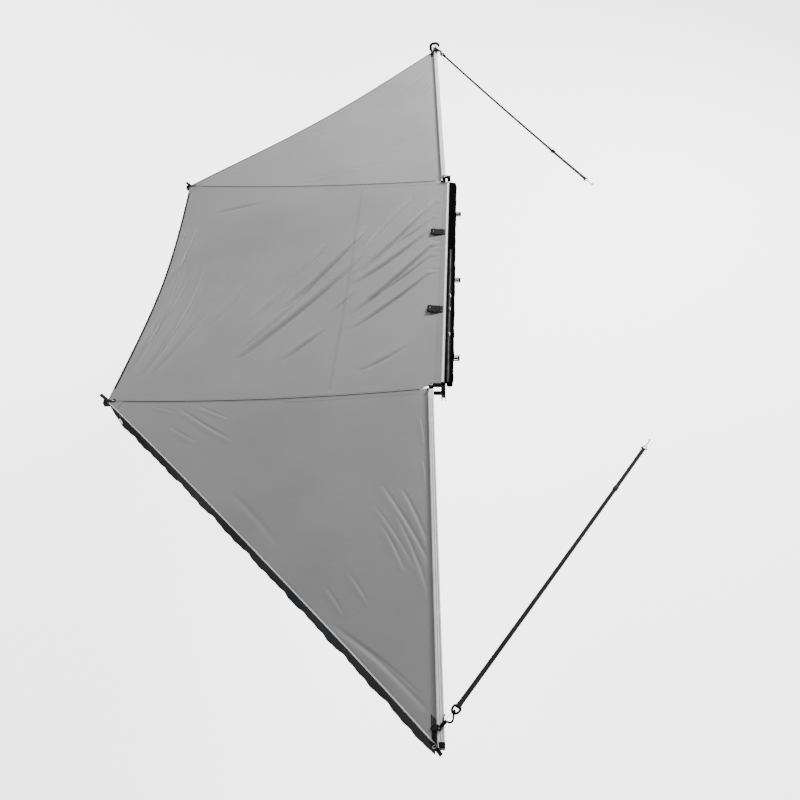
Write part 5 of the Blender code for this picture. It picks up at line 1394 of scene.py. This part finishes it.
def build_arm_rivets():
    """Blind rivets through each arm's side into its end cap and its knuckle."""
    for arm in ARMS:
        spots = ((arm.length - 0.019, 0.022), (arm.length - 0.011, 0.022), (0.086, 0.024), (0.104, 0.024))
        parts = [domed_head(arm.at(along, ARM_HALF_WIDTH * hand, up), arm.left * hand, 0.0032, 0.0014)
                 for hand in (-1, 1) for along, up in spots]
        carried(joined(f"{arm.name}_rivets", parts, TUBE_ALUMINIUM), f"{arm.name}_arm")


RING_STATION = 0.112
SLOT_OFFSET = 0.006


def build_rear_ring():
    """The white oval ring sewn to the rear valance near the mid tip, with its short strip of webbing."""
    hem, out = wing_hem(REAR_WING), REAR_WING.outward
    body, fold = f"{MID_REAR.name}_arm", wing_fold(REAR_WING)
    spot = hanging(hem, out, RING_STATION, 0.55, tapered=True) + out * 0.0055
    along = unit(hem[20] - hem[10])
    carried(ring("rear_valance_ring", spot, UP, along, 0.0190, 0.0036, WHITE_NYLON, 0.62), body, fold)
    strip = hanging(hem, out, RING_STATION, np.linspace(0.02, 0.42, 12), tapered=True) + out * 0.0022
    carried(band("rear_valance_ring_strip", strip, 0.016, 0.0016, WEBBING, along), body, fold)


def build_rear_tail():
    """The short webbing tail at the rear tip, past the corner patch, with a bright link at its root."""
    body, fold = f"{MID_REAR.name}_arm", wing_fold(REAR_WING)
    root = np.array([-0.0590, -3.3760, REST_Z + 0.009])
    away = unit((0.036, -0.034, 0.0))
    across = unit(np.cross(away, UP))
    steps = np.array([(-0.024, -0.002), (-0.008, 0.001), (0.004, 0.002), (0.022, -0.004), (0.040, -0.016),
                      (0.052, -0.030)])
    line = smooth_line(spread(root, steps.T, (away, UP)))
    carried(band("rear_tip_tail", line, 0.021, 0.0020, WEBBING, across), body, fold)
    link = ring("rear_tip_link", root + away * 0.010 + UP * 0.0025, away, across, 0.0065, 0.0018, ZINC, 1.5)
    carried(link, body, fold)


def build_front_loop():
    """The loop of webbing that stands round the front arm's end, and its strip on the canopy's corner."""
    arch = np.array([(0.046, 0.004), (0.050, 0.028), (0.047, 0.052), (0.034, 0.067), (0.006, 0.071),
                     (-0.016, 0.067), (-0.029, 0.056), (-0.030, 0.043), (-0.022, 0.0400)])
    line = smooth_line(FRONT.at(FRONT.length + 0.014, *arch.T))
    across = np.cross(np.gradient(line, axis=0), FRONT.along)
    carried(band("front_tip_webbing_loop", line, 0.028, 0.0050, WEBBING, across), "front_arm")
    stations = np.array([(-0.085, 0.034, 0.0078), (-0.040, 0.038, 0.0080), (-0.010, 0.042, 0.0085),
                         (0.012, 0.046, 0.0050)])
    line = smooth_line(FRONT.at(*(stations + (FRONT.length, 0, 0)).T))
    carried(band("front_tip_webbing_strip", line, 0.024, 0.0018, WEBBING, FRONT.left), "front_arm")


def build_slot_painted_shades():
    """Grey strips in the two top slots of each arm that shows: painted shade for the slots' recess, as dark
    lines along it.
    """
    for arm in (FRONT, REAR):
        stations = np.linspace(0.110, arm.length - CAP_LENGTH - 0.004, 60)
        for side, hand in (("right", -1), ("left", 1)):
            line = arm.at(stations, hand * SLOT_OFFSET, ARM_HEIGHT - 0.0005)
            painted_shade = band(f"{arm.name}_slot_liner_{side}", line, 0.003, 0.0006, SLOT_PAINTED_SHADE)
            carried(painted_shade, f"{arm.name}_arm")


def build_small_hardware():
    build_front_loop()
    build_slot_painted_shades()
    build_arm_rivets()
    build_rear_ring()
    build_rear_tail()


build_trim()
build_straps()
build_cover()
for node, middle in ROOF_STRAP_PLACES.items():
    build_roof_strap(node, middle)
build_small_hardware()


# Finishes of the part's own pieces

def dress(names, finish):
    for name in names:
        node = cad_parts[name]
        node.data.materials.clear()
        node.data.materials.append(finish)


def dress_part():
    """Gives every piece of the part that shows its own finish."""
    dress(["beam_rail"], ALUMINIUM[90.0])
    dress([f"{place}_foot_bracket" for place in ("front", "middle", "rear")], POWDER_BLACK)
    dress(["front_end_bracket", "rear_end_bracket"], POWDER_BLACK)
    dress([f"{end}_pivot_{kind}" for end in ("front", "rear") for kind in ("bolt", "spacer")], ZINC)
    for arm in ARMS:
        dress([f"{arm.name}_arm_channel"], ALUMINIUM[arm.heading % 360])
        dress([f"{arm.name}_arm_knuckle", f"{arm.name}_arm_cap"], NYLON)
        dress([f"{arm.name}_leg_tube", f"{arm.name}_leg_rod"], TUBE_ALUMINIUM)
        dress([f"{arm.name}_leg_foot"], RUBBER)
        dress([f"{arm.name}_leg_pin"], ZINC)


dress_part()
